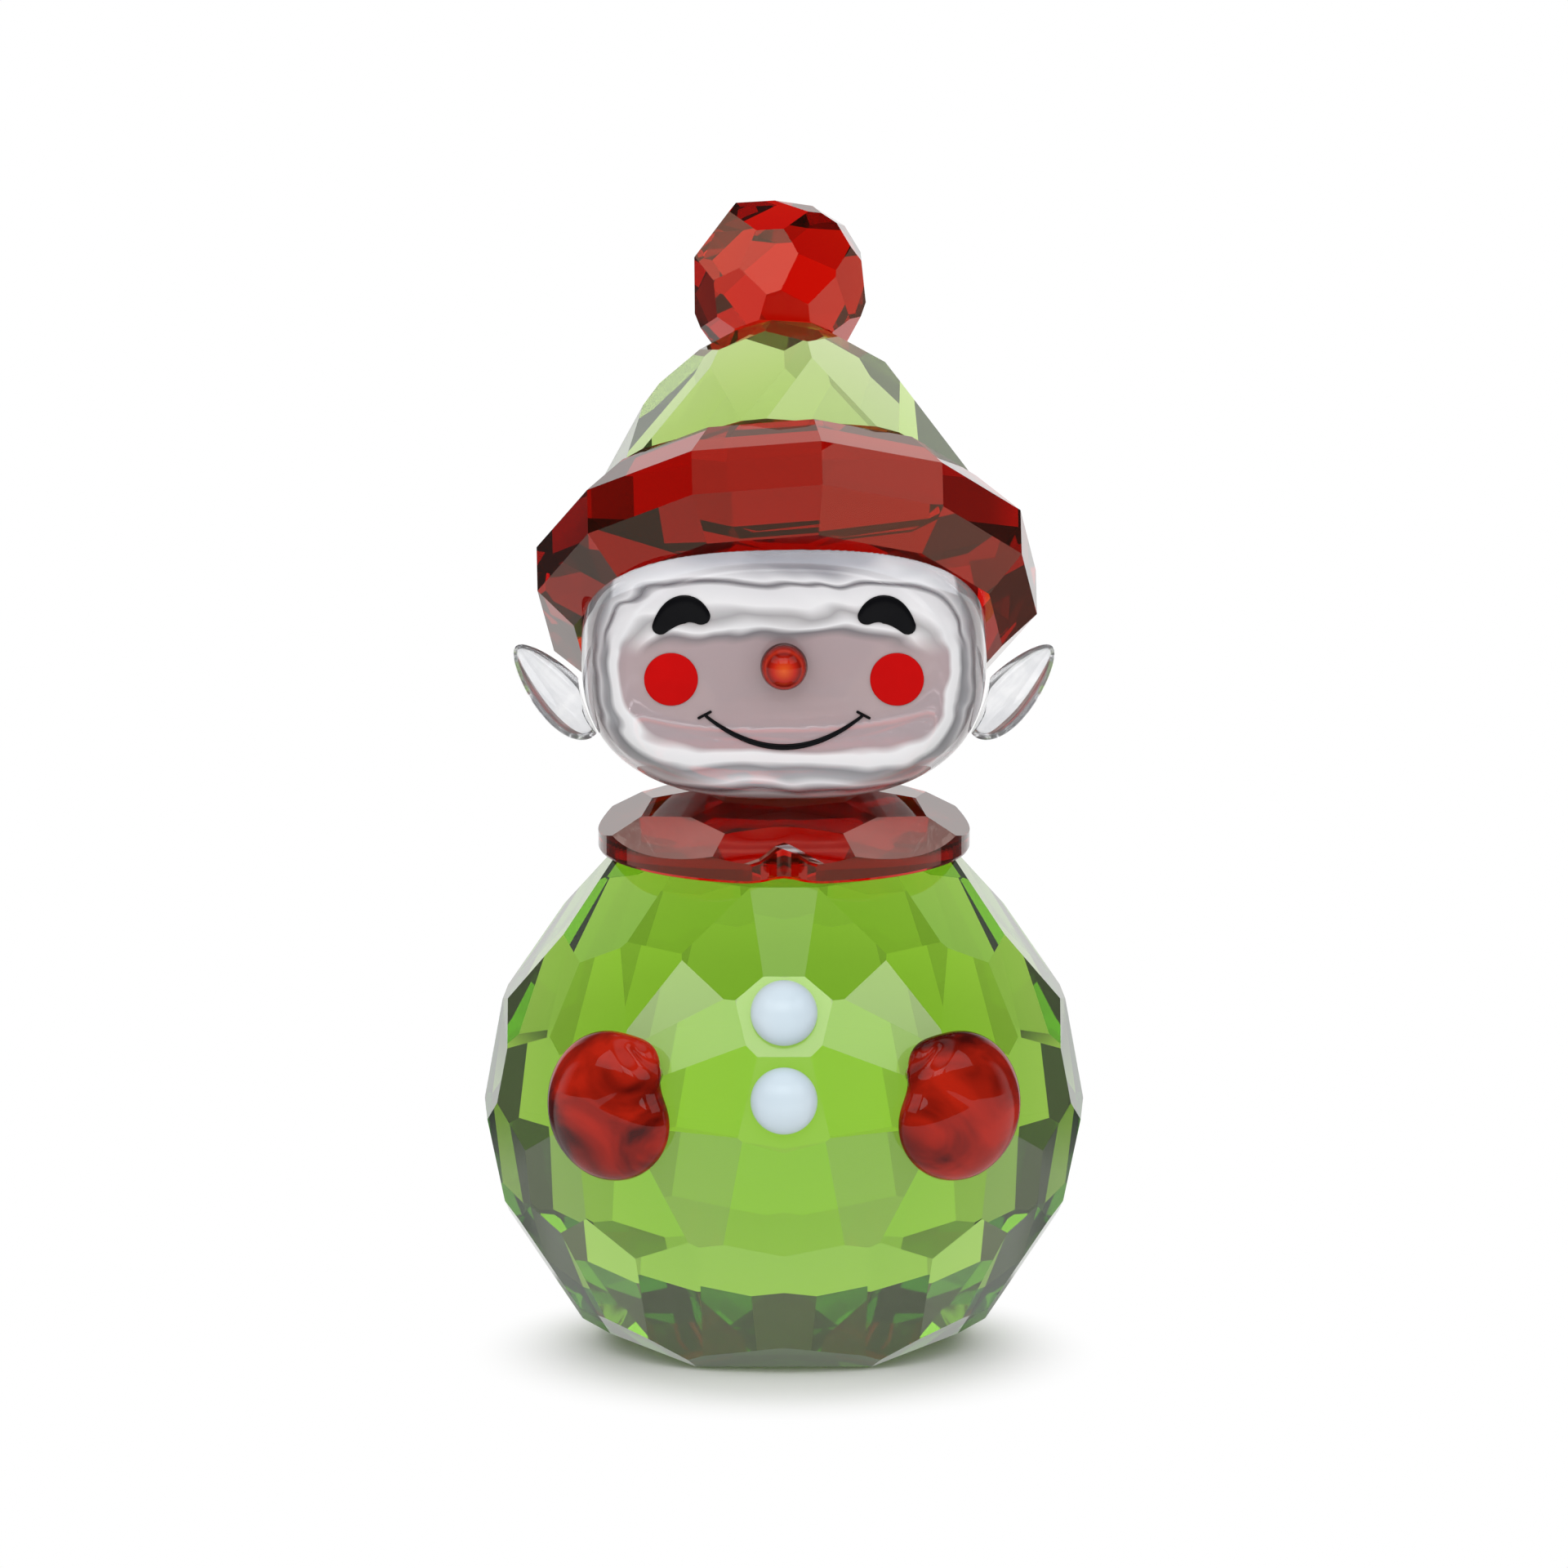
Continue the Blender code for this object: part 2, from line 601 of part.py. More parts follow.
def mitten_reach(angle):
    """How far the mitten's edge lies from its middle: a round palm, a thumb and a dip."""
    reach = MITTEN_RADIUS
    for lobe, size, spread in (
        (MITTEN_THUMB_ANGLE, MITTEN_THUMB_SIZE, MITTEN_THUMB_SPREAD),
        (MITTEN_NOTCH_ANGLE, -MITTEN_NOTCH_SIZE, MITTEN_NOTCH_SPREAD),
    ):
        away = (angle - lobe + math.pi) % (2 * math.pi) - math.pi
        reach += MITTEN_RADIUS * size * math.exp(-((away / spread) ** 2))
    return reach


def make_mitten(name, side, material, collection):
    """A smooth red pebble shaped like a mitten, its thumb towards the buttons."""
    bm = bmesh.new()
    bmesh.ops.create_uvsphere(bm, u_segments=32, v_segments=16, radius=1)
    for vertex in bm.verts:
        x, y, z = vertex.co
        angle = math.atan2(y, -side * x)
        out = math.hypot(x, y) ** MITTEN_FULLNESS
        reach = mitten_reach(angle) * out
        height = z * (MITTEN_HEIGHT - MITTEN_BACK) if z > 0 else z * 2 * MITTEN_BACK
        vertex.co = Vector((-side * reach * math.cos(angle), reach * math.sin(angle), height))
    grind(bm, Vector((0, 0, -MITTEN_BACK)), Vector((0, 0, -1)))
    azimuth, elevation, extra = MITTEN_FLAT
    seat = Matrix.Translation((-side * MITTEN_INWARD, MITTEN_RAISE, GLUE_LINE + MITTEN_BACK))
    place = body_flat_frame((side * azimuth, elevation, extra)) @ seat
    return finish_stone(bm, name, material, collection, place, SMOOTH_BELOW)


def make_elf():
    """Builds every piece of the figurine."""
    clear_scene()
    pieces = new_collection("elf_figurine")
    cutters = new_collection("cutters")
    paint = {name: crystal_material(name) for name in COLOURS}
    make_body(paint["green crystal"], pieces)
    make_collar(paint["red crystal"], pieces)
    make_head(paint["clear crystal"], pieces)
    bm = rounded_block(head_sizes(GLUE_LINE), HEAD_ROUNDNESS, 2 * HEAD_RINGS, 2 * HEAD_SIDES)
    place = Matrix.Translation(head_centre())
    ear_cutter = finish_stone(bm, "ear_cutter", paint["clear crystal"], cutters, place)
    hide_guide(ear_cutter)
    for side, word in ((-1, "left"), (1, "right")):
        make_ear("ear_" + word, side, paint["clear crystal"], pieces, ear_cutter)
        make_eye("eye_" + word, side, paint["black enamel"], pieces)
        make_cheek("cheek_" + word, side, paint["red enamel"], pieces)
        make_mitten("mitten_" + word, side, paint["red crystal"], pieces)
    make_nose(paint["red crystal"], pieces)
    make_mouth(paint["black enamel"], pieces, cutters)
    make_brim(paint["red crystal"], pieces)
    make_crown(paint["green crystal"], pieces)
    make_bobble(paint["red crystal"], pieces)
    make_button("button_upper", UPPER_BUTTON_FLAT, paint["white pearl"], pieces)
    make_button("button_lower", LOWER_BUTTON_FLAT, paint["white pearl"], pieces)


make_elf()
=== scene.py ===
"""Looks of the elf figurine: cut crystal stones, smooth pebbles, pearls and enamel.

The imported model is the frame. The stones with flats keep their solids and get a new finish. The
rounded pieces are replaced by finer surfaces, worked out with numpy on grids of two parameters.
Metres, +Z up, and the elf looks along -Y.
"""

from __future__ import annotations

import logging
import math
from abc import ABC, abstractmethod
from dataclasses import dataclass, replace
from enum import Enum

import bpy
import numpy as np
from mathutils import Matrix

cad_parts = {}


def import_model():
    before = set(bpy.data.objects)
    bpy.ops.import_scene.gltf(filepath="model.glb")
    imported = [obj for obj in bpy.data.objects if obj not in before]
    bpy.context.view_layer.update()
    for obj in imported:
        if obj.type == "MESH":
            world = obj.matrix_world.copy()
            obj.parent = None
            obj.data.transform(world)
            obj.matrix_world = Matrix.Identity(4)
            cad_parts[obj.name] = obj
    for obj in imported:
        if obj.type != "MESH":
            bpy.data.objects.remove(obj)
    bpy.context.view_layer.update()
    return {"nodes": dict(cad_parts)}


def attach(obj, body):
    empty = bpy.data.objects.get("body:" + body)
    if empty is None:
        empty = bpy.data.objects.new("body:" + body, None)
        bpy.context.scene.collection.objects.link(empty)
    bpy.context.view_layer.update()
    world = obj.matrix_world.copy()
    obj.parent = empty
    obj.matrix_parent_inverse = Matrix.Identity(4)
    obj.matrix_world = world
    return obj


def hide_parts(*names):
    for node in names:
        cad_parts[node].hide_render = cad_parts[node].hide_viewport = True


Colour = tuple[float, float, float]
Point = tuple[float, float, float]
Pair = tuple[float, float]
Stops = tuple[tuple[float, Colour], ...]
Socket = bpy.types.NodeSocket

MM = 0.001
WHITE = (1.0, 1.0, 1.0)
UP = (0.0, 0.0, 1.0)
LOG = logging.getLogger("elf_figurine")


class Slot(Enum):
    """The names of the record's material slots."""

    RED = "red_crystal"
    CLEAR = "clear_crystal"
    BLACK = "black_enamel"
    RED_ENAMEL = "red_enamel"
    PEARL = "white_pearl"


class Side(Enum):
    """Which side of the elf a piece is on, seen from the front."""

    LEFT = -1
    RIGHT = 1

    @property
    def word(self) -> str:
        """The side's name in lower case."""
        return self.name.lower()


# Surfaces


def unit(vector: Point | np.ndarray) -> np.ndarray:
    """The vector at length one."""
    array = np.asarray(vector, float)
    return array / np.linalg.norm(array)


def facing(azimuth: float, elevation: float) -> np.ndarray:
    """Turns a direction's two angles into a vector.

    Args:
        azimuth: Degrees turned from the front towards +X.
        elevation: Degrees above level.

    Returns:
        The unit vector (cos e sin a, -cos e cos a, sin e).
    """
    turn = math.radians(azimuth)
    rise = math.radians(elevation)
    return np.array([
        math.cos(rise) * math.sin(turn),
        -math.cos(rise) * math.cos(turn),
        math.sin(rise),
    ])


def ball_grid(rings: int, sides: int) -> tuple[np.ndarray, np.ndarray]:
    """The two parameters of a ball.

    Args:
        rings: Rows from the lower pole to the upper one.
        sides: Columns once round.

    Returns:
        The height angle, from -90 to 90 degrees, and the angle round, both of shape (rings, sides).
    """
    height = np.linspace(-math.pi / 2, math.pi / 2, rings)
    turn = np.arange(sides) * 2 * math.pi / sides
    return np.meshgrid(height, turn, indexing="ij")


def ball_directions(rings: int, sides: int) -> np.ndarray:
    """The directions from a ball's middle to its points.

    Args:
        rings: Rows from the lower pole to the upper one.
        sides: Columns once round.

    Returns:
        Unit vectors (cos h cos t, cos h sin t, sin h), of shape (rings, sides, 3).
    """
    height, turn = ball_grid(rings, sides)
    level = np.cos(height)
    return np.stack([level * np.cos(turn), level * np.sin(turn), np.sin(height)], axis=-1)


def closed_mesh(name: str, grid: np.ndarray) -> bpy.types.Mesh:
    """Turns a grid of points into a closed, smooth mesh that faces outwards.

    Args:
        name: The mesh's name.
        grid: Points of shape (rings, sides, 3). The first and the last ring are each one point.

    Returns:
        The mesh: two fans of triangles at the poles and squares between them. Where the volume,
        the sum of a . (b x c) over the faces, comes out negative, every face is turned round.
    """
    rings, sides, _ = grid.shape
    points = np.vstack([grid[:1, 0], grid[1:-1].reshape(-1, 3), grid[-1:, 0]])
    index = 1 + np.arange((rings - 2) * sides).reshape(rings - 2, sides)
    after = np.roll(index, -1, axis=1)
    squares = np.stack([index[:-1], after[:-1], after[1:], index[1:]], axis=-1).reshape(-1, 4)
    low = np.stack([np.zeros(sides, int), after[0], index[0]], axis=-1)
    high = np.stack([np.full(sides, len(points) - 1), index[-1], after[-1]], axis=-1)
    corners = points[squares]
    volume = np.einsum("ij,ij->i", corners[:, 0], np.cross(corners[:, 1], corners[:, 2])).sum()
    faces = low.tolist() + squares.tolist() + high.tolist()
    if volume < 0:
        faces = [face[::-1] for face in faces]
    mesh = bpy.data.meshes.new(name)
    mesh.from_pydata(points.tolist(), [], faces)
    mesh.update()
    mesh.shade_smooth()
    return mesh


@dataclass(frozen=True)
class Seat:
    """A place with its own axes: x to the right, y as far up as it can be, z outwards."""

    place: np.ndarray
    normal: np.ndarray

    def axes(self) -> np.ndarray:
        """Works out the seat's axes.

        Returns:
            The three unit vectors as the rows of a square array.
        """
        outward = unit(self.normal)
        right = unit(np.cross(UP, outward))
        return np.stack([right, np.cross(outward, right), outward])

    def put(self, grid: np.ndarray) -> np.ndarray:
        """Places points that are given in the seat's own axes."""
        return grid @ self.axes() + self.place


# Nodes


class Wiring:
    """A short way to add nodes to a tree and to link them.

    A Mix node has a socket of each name for every kind of value. The ones for colours are taken
    by their numbers.
    """

    colour_mix_inputs: tuple[int, int, int] = (0, 6, 7)
    colour_mix_output: int = 2

    def __init__(self, tree: bpy.types.NodeTree) -> None:
        """Takes the tree that the nodes go in."""
        self.tree = tree

    def add(self, kind: str, values: dict | None = None, **settings: object) -> bpy.types.Node:
        """Adds one node.

        Args:
            kind: The node's type.
            values: Numbers or sockets, by the name or the number of the input they go to.
            **settings: Properties of the node itself.

        Returns:
            The new node.
        """
        node = self.tree.nodes.new(kind)
        for key, value in settings.items():
            setattr(node, key, value)
        for key, value in (values or {}).items():
            self.feed(node.inputs[key], value)
        return node

    def feed(self, socket: Socket, value: object) -> None:
        """Sets an input to a number, or links it to an output.

        Args:
            socket: The input.
            value: A number, a colour, a vector or another node's output.
        """
        if isinstance(value, Socket):
            self.tree.links.new(value, socket)
        else:
            socket.default_value = value

    def calculate(self, operation: str, *numbers: object) -> Socket:
        """One sum of one or two numbers or sockets."""
        node = self.add("ShaderNodeMath", dict(enumerate(numbers)), operation=operation)
        return node.outputs["Value"]

    def product(self, first: object, *others: object) -> Socket:
        """The product of several numbers or sockets.

        Args:
            first: A number or a socket.
            *others: The others, at least one.

        Returns:
            Their product.
        """
        for other in others:
            first = self.calculate("MULTIPLY", first, other)
        return first

    def rise(self, value: Socket, start: float, end: float) -> Socket:
        """A soft rise.

        Args:
            value: What it reads.
            start: Where it is 0.
            end: Where it is 1.

        Returns:
            The smooth step of the value's share of the way from start to end.
        """
        values = {"Value": value, "From Min": start, "From Max": end}
        node = self.add("ShaderNodeMapRange", values, interpolation_type="SMOOTHSTEP")
        return node.outputs["Result"]

    def mix(self, share: Socket, first: object, second: object) -> Socket:
        """The first number where the share is 0, and the second where it is 1."""
        values = {"Factor": share, "A": first, "B": second}
        return self.add("ShaderNodeMix", values, data_type="FLOAT").outputs["Result"]

    def mix_colours(self, share: Socket, first: object, second: object) -> Socket:
        """The first colour where the share is 0, and the second where it is 1."""
        values = dict(zip(self.colour_mix_inputs, (share, first, second)))
        return self.add("ShaderNodeMix", values, data_type="RGBA").outputs[self.colour_mix_output]

    def vector(self, operation: str, *vectors: object) -> Socket:
        """One sum of one or two vectors."""
        node = self.add("ShaderNodeVectorMath", dict(enumerate(vectors)), operation=operation)
        return node.outputs["Vector"]

    def length(self, vector: Socket) -> Socket:
        """A vector's length."""
        return self.add("ShaderNodeVectorMath", {0: vector}, operation="LENGTH").outputs["Value"]

    def split(self, vector: Socket) -> bpy.types.NodeOutputs:
        """A vector's parts, by the names X, Y and Z."""
        return self.add("ShaderNodeSeparateXYZ", {"Vector": vector}).outputs


class MaterialNodes(Wiring):
    """The nodes of one material."""

    def __init__(self, name: str) -> None:
        """Starts a material with its output, its Principled shader and what the nodes read.

        Args:
            name: The material's name.
        """
        self.material = bpy.data.materials.new(name)
        self.material.use_nodes = True
        super().__init__(self.material.node_tree)
        self.shader = self.tree.nodes["Principled BSDF"]
        self.output = self.tree.nodes["Material Output"]
        self.place = self.add("ShaderNodeTexCoord").outputs["Object"]
        self.normal = self.add("ShaderNodeNewGeometry").outputs["True Normal"]

    def shade(self, values: dict[str, object]) -> None:
        """Sets or links inputs of the Principled shader, by their names."""
        for name, value in values.items():
            self.feed(self.shader.inputs[name], value)

    def noise(
        self, scale: float, detail: float = 3.0, bend: float = 0.0, place: Socket | None = None
    ) -> Socket:
        """Soft noise through the whole piece.

        Args:
            scale: How fine it is.
            detail: How many finer noises it holds.
            bend: How far it is swirled.
            place: Where it is read, if that isn't the piece's own place.

        Returns:
            The noise, from 0 to 1.
        """
        read = self.place if place is None else place
        values = {"Vector": read, "Scale": scale, "Detail": detail, "Distortion": bend}
        return self.add("ShaderNodeTexNoise", values).outputs["Fac"]

    def ramp(self, factor: Socket, stops: Stops) -> Socket:
        """A colour ramp.

        Args:
            factor: What it reads.
            stops: Pairs of a place from 0 to 1 and a colour.

        Returns:
            The ramp's colour.
        """
        node = self.add("ShaderNodeValToRGB", {"Fac": factor})
        ramp = node.color_ramp
        while len(ramp.elements) < len(stops):
            ramp.elements.new(1.0)
        for element, (place, colour) in zip(ramp.elements, stops):
            element.position = place
            element.color = (*colour, 1.0)
        return node.outputs["Color"]

    def bump(self, height: Socket, strength: float, distance: float) -> None:
        """Feeds a fine relief to the shader's normal."""
        values = {"Height": height, "Strength": strength, "Distance": distance}
        self.shade({"Normal": self.add("ShaderNodeBump", values).outputs["Normal"]})

    def absorb(self, colour: Colour, density: float) -> None:
        """Colours the light by the way that it goes inside the piece.

        Args:
            colour: The colour that is let through.
            density: How soon the colour shows.
        """
        values = {"Color": (*colour, 1.0), "Density": density}
        node = self.add("ShaderNodeVolumeAbsorption", values)
        self.feed(self.output.inputs["Volume"], node.outputs["Volume"])


# Finishes


@dataclass(frozen=True, kw_only=True)
class Glass(ABC):
    """Polished glass, whose colour lies in its depth."""

    name: str
    depth_colour: Colour
    depth_density: float
    index: float = 1.54
    clearness: float = 1.0
    roughness: float = 0.0
    glint: Colour = WHITE

    @abstractmethod
    def dress(self, nodes: MaterialNodes) -> None:
        """Feeds the shader's colour and clearness."""

    def material(self) -> bpy.types.Material:
        """Makes the material.

        Returns:
            The material, with the depth colour as absorption in its volume.
        """
        nodes = MaterialNodes(self.name)
        self.dress(nodes)
        glint = (*self.glint, 1.0)
        nodes.shade({"Roughness": self.roughness, "IOR": self.index, "Specular Tint": glint})
        nodes.absorb(self.depth_colour, self.depth_density)
        return nodes.material


@dataclass(frozen=True, kw_only=True)
class VeinedCrystal(Glass):
    """Glass with soft veins through the whole piece, and a ripple in its face if it has one."""

    tint: Colour
    tint_low: Colour
    vein_scale: float
    vein_bend: float
    vein_places: Pair = (0.35, 0.65)
    ripple: float = 0.0
    ripple_scale: float = 260.0
    ripple_detail: float = 1.0
    ripple_height: float = 0.2 * MM

    def dress(self, nodes: MaterialNodes) -> None:
        """Feeds the veins, from the low tint to the other, and the ripple.

        Args:
            nodes: The material's nodes.
        """
        low, high = self.vein_places
        veins = nodes.noise(self.vein_scale, bend=self.vein_bend)
        colour = nodes.ramp(veins, ((low, self.tint_low), (high, self.tint)))
        nodes.shade({"Base Color": colour, "Transmission Weight": self.clearness})
        if self.ripple:
            relief = nodes.noise(self.ripple_scale, self.ripple_detail)
            nodes.bump(relief, self.ripple, self.ripple_height)


@dataclass(frozen=True, kw_only=True)
class CutCrystal(Glass):
    """Glass cut in flats, each of which draws by its direction a painted shade and a painted
    reflection.
    """

    # tint is the colour of the painted reflection on the palest flats, tint_low the stone's own
    # colour
    tint: Colour
    tint_low: Colour
    # shade: the most painted shade that a flat's draw takes off its colour
    shade: float
    haze_and_painted_reflection: Pair
    rarity: float
    seed: float
    level: float = -2.0
    same_within: float = 0.01

    def draw(self, nodes: MaterialNodes, seed: float) -> Socket:
        """Draws a number for each flat, the same on flats that mirror each other.

        Args:
            nodes: The material's nodes.
            seed: Which draw.

        Returns:
            The number, from 0 to 1. It is 0 on flats that face up less than the level.
        """
        mirrored = nodes.vector("ABSOLUTE", nodes.normal)
        stepped = nodes.vector("SNAP", mirrored, (self.same_within,) * 3)
        values = {"Vector": stepped, "W": seed}
        noise = nodes.add("ShaderNodeTexWhiteNoise", values, noise_dimensions="4D")
        raised = nodes.calculate("GREATER_THAN", nodes.split(nodes.normal)["Z"], self.level)
        return nodes.product(noise.outputs["Value"], raised)

    def dress(self, nodes: MaterialNodes) -> None:
        """Feeds each flat's colour and clearness.

        The clearness falls with a power of a first draw, the rarity, and the tint goes with it:
        slightly less clear on every flat, and a painted reflection, paler and less clear, on the
        flats that draw high. The colour is then darkened by a second draw's share of the shade, as
        painted shade.

        Args:
            nodes: The material's nodes.
        """
        # painted reflection: a first draw makes some flats paler and less clear
        pale = nodes.calculate("POWER", self.draw(nodes, self.seed), self.rarity)
        colour = nodes.ramp(pale, ((0.0, self.tint_low), (1.0, self.tint)))
        # painted shade: a second draw darkens each flat
        drop = nodes.product(self.draw(nodes, self.seed + 1.0), self.shade)
        darkened = {0: colour, "Scale": nodes.calculate("SUBTRACT", 1.0, drop)}
        scaled = nodes.add("ShaderNodeVectorMath", darkened, operation="SCALE")
        low, high = self.haze_and_painted_reflection
        clear = nodes.calculate("SUBTRACT", 1.0 - low, nodes.product(pale, high - low))
        nodes.shade({"Base Color": scaled.outputs["Vector"], "Transmission Weight": clear})


@dataclass(frozen=True, kw_only=True)
class BandedCrystal(Glass):
    """Clear glass with painted reflections: bright and grey bands that follow its outline, round a
    pink middle.
    """

    tint: Colour
    centre_height: float = 48.15 * MM
    half_width: float = 13.95 * MM
    half_height: float = 9.9 * MM
    bend: float = 7.0
    change: Pair = (0.14, 0.34)
    face: Pair = (-4.0 * MM, -8.6 * MM)
    painted_reflection_milk: float = 0.62
    waver: float = 0.20
    streak_scale: float = 150.0
    streak_detail: float = 1.0
    streak_bend: float = 0.9
    streak_spread: Point = (0.85, 0.35, 1.7)
    # painted reflections: the bands above and below the nose, from a pink middle out through white
    # and grey
    upper: Stops = (
        (0.00, (0.66, 0.53, 0.55)),
        (0.24, (0.66, 0.53, 0.55)),
        (0.30, (0.36, 0.36, 0.39)),
        (0.35, (0.98, 0.98, 1.00)),
        (0.44, (0.62, 0.62, 0.64)),
        (0.52, (0.98, 0.98, 1.00)),
        (0.64, (0.90, 0.90, 0.93)),
        (0.67, (0.30, 0.31, 0.35)),
        (0.70, (0.95, 0.95, 0.98)),
        (0.80, (0.48, 0.50, 0.56)),
        (0.88, (0.30, 0.32, 0.37)),
        (0.91, (0.95, 0.95, 0.98)),
        (1.00, (0.55, 0.57, 0.61)),
    )
    lower: Stops = (
        (0.00, (0.66, 0.53, 0.55)),
        (0.47, (0.66, 0.53, 0.56)),
        (0.51, (0.98, 0.98, 1.00)),
        (0.58, (0.95, 0.95, 0.97)),
        (0.63, (0.46, 0.47, 0.50)),
        (0.69, (0.62, 0.63, 0.66)),
        (0.73, (0.92, 0.92, 0.95)),
        (0.79, (0.30, 0.30, 0.33)),
        (0.84, (0.95, 0.95, 0.97)),
        (1.00, (0.60, 0.62, 0.66)),
    )

    def dress(self, nodes: MaterialNodes) -> None:
        """Feeds the painted reflection bands, and the loss of clearness that goes with them.

        They are read by how far out a point lies, the root of |x/a|^bend + |z/b|^2, wavered by a
        noise that is pulled out sideways. Above the nose one row of bands holds, below it another.
        Behind the face they give way to plain glass.

        Args:
            nodes: The material's nodes.
        """
        spread = {"Vector": nodes.place, "Scale": self.streak_spread}
        pulled = nodes.add("ShaderNodeMapping", spread).outputs["Vector"]
        streaks = nodes.noise(self.streak_scale, self.streak_detail, self.streak_bend, pulled)
        middle = nodes.vector("SUBTRACT", nodes.place, (0.0, 0.0, self.centre_height))
        halves = (self.half_width, 1.0, self.half_height)
        shares = nodes.split(nodes.vector("DIVIDE", middle, halves))
        aside = nodes.calculate("POWER", nodes.calculate("ABSOLUTE", shares["X"]), self.bend)
        raised = nodes.product(shares["Z"], shares["Z"])
        out = nodes.calculate("SQRT", nodes.calculate("ADD", aside, raised))
        moved = nodes.product(nodes.calculate("SUBTRACT", streaks, 0.5), self.waver)
        far = nodes.calculate("ADD", out, moved)
        above = nodes.rise(shares["Z"], *self.change)
        # painted reflection: the bands, less clear where they are bright, take the face's colour
        bands = nodes.mix_colours(above, nodes.ramp(far, self.lower), nodes.ramp(far, self.upper))
        front = nodes.rise(nodes.split(nodes.place)["Y"], *self.face)
        colour = nodes.mix_colours(front, (*self.tint, 1.0), bands)
        painted_reflection_milk = nodes.product(bands, self.painted_reflection_milk, front)
        clear = nodes.calculate("SUBTRACT", self.clearness, painted_reflection_milk)
        nodes.shade({"Base Color": colour, "Transmission Weight": clear})


@dataclass(frozen=True, kw_only=True)
class Bead(Glass):
    """A round bead with painted light: a painted glow in the middle, and painted shade round its
    rim.
    """

    middle: Point = (0.0, 0.0, 49.25 * MM)
    radius: float = 1.63 * MM
    # painted light: a bright middle, a paler ring and a dark rim
    rings: Stops = (
        (0.0, (0.75, 0.11, 0.02)),
        (0.45, (0.55, 0.02, 0.008)),
        (0.70, (0.22, 0.006, 0.003)),
        (0.80, (0.50, 0.03, 0.012)),
        (0.88, (0.30, 0.01, 0.005)),
        (1.0, (0.03, 0.002, 0.001)),
    )

    def dress(self, nodes: MaterialNodes) -> None:
        """Feeds the rings of painted glow and shade, read by the distance from the axis through the
        bead's front.

        Args:
            nodes: The material's nodes.
        """
        away = nodes.vector("SUBTRACT", nodes.place, self.middle)
        level = nodes.vector("MULTIPLY", away, (1 / self.radius, 0.0, 1 / self.radius))
        colour = nodes.ramp(nodes.length(level), self.rings)
        nodes.shade({"Base Color": colour, "Transmission Weight": self.clearness})


@dataclass(frozen=True, kw_only=True)
class Enamel:
    """An opaque coat, such as print, paint or pearl, with a soft mottle and a fine grain."""

    name: str
    colour: Colour
    colour_low: Colour
    roughness: float
    gloss: float
    mottle_places: Pair = (0.3, 0.7)
    grain_scale: float = 400.0
    grain: float = 0.05
    grain_height: float = 0.05 * MM

    def material(self) -> bpy.types.Material:
        """Makes the material.

        Returns:
            The material, whose mottle is in its colour and whose grain is in its normal.
        """
        nodes = MaterialNodes(self.name)
        low, high = self.mottle_places
        mottle = nodes.noise(self.grain_scale)
        colour = nodes.ramp(mottle, ((low, self.colour_low), (high, self.colour)))
        nodes.shade({"Base Color": colour, "Roughness": self.roughness})
        nodes.shade({"Specular IOR Level": self.gloss})
        nodes.bump(mottle, self.grain, self.grain_height)
        return nodes.material


# Cut crystals: the pale tint and its loss of clearness on some flats are painted reflection, and
# the shade is painted shade
GREEN_CRYSTAL = CutCrystal(
    name="green crystal",
    tint=(0.98, 1.0, 0.80),
    tint_low=(0.84, 1.0, 0.45),
    depth_colour=(0.63, 0.857, 0.0),
    depth_density=66.0,
    shade=0.42,
    haze_and_painted_reflection=(0.0, 0.26),
    rarity=2.6,
    seed=33.0,
)
PALE_GREEN_CRYSTAL = CutCrystal(
    name="pale green crystal",
    tint=(0.97, 1.0, 0.86),
    tint_low=(0.90, 1.0, 0.66),
    depth_colour=(0.63, 0.857, 0.0),
    depth_density=44.0,
    shade=0.28,
    haze_and_painted_reflection=(0.02, 0.30),
    rarity=2.0,
    seed=55.0,
)
RED_CRYSTAL = CutCrystal(
    name="red crystal",
    tint=(0.88, 0.50, 0.36),
    tint_low=(0.85, 0.08, 0.01),
    depth_colour=(0.952, 0.12, 0.0),
    depth_density=370.0,
    index=1.48,
    glint=(1.0, 0.82, 0.6),
    shade=0.50,
    haze_and_painted_reflection=(0.02, 0.24),
    rarity=4.0,
    seed=17.0,
)
RED_BOBBLE = replace(RED_CRYSTAL, name="red bobble crystal", seed=47.0)
# painted reflection and painted shade fall only on the collar's flats that face up past the level
RED_COLLAR = replace(
    RED_CRYSTAL,
    name="red collar crystal",
    tint=(0.62, 0.36, 0.32),
    haze_and_painted_reflection=(0.03, 0.40),
    rarity=1.5,
    level=0.35,
)
# The head's bands and pink middle are painted reflections
CLEAR_HEAD = BandedCrystal(
    name="clear crystal",
    tint=(0.90, 0.90, 0.93),
    depth_colour=(0.9, 0.9, 0.92),
    depth_density=10.0,
    index=1.5,
    clearness=0.84,
)
CLEAR_EAR = VeinedCrystal(
    name="clear ear crystal",
    tint=(0.98, 0.98, 0.99),
    tint_low=(0.80, 0.81, 0.84),
    depth_colour=(0.9, 0.9, 0.92),
    depth_density=18.0,
    index=1.5,
    clearness=0.9,
    vein_scale=330.0,
    vein_bend=1.2,
)
RED_PEBBLE = VeinedCrystal(
    name="red pebble glass",
    tint=(0.58, 0.020, 0.006),
    tint_low=(0.07, 0.002, 0.001),
    depth_colour=(0.9, 0.08, 0.04),
    depth_density=330.0,
    index=1.33,
    clearness=0.3,
    roughness=0.02,
    vein_scale=120.0,
    vein_bend=1.6,
    ripple=0.12,
)
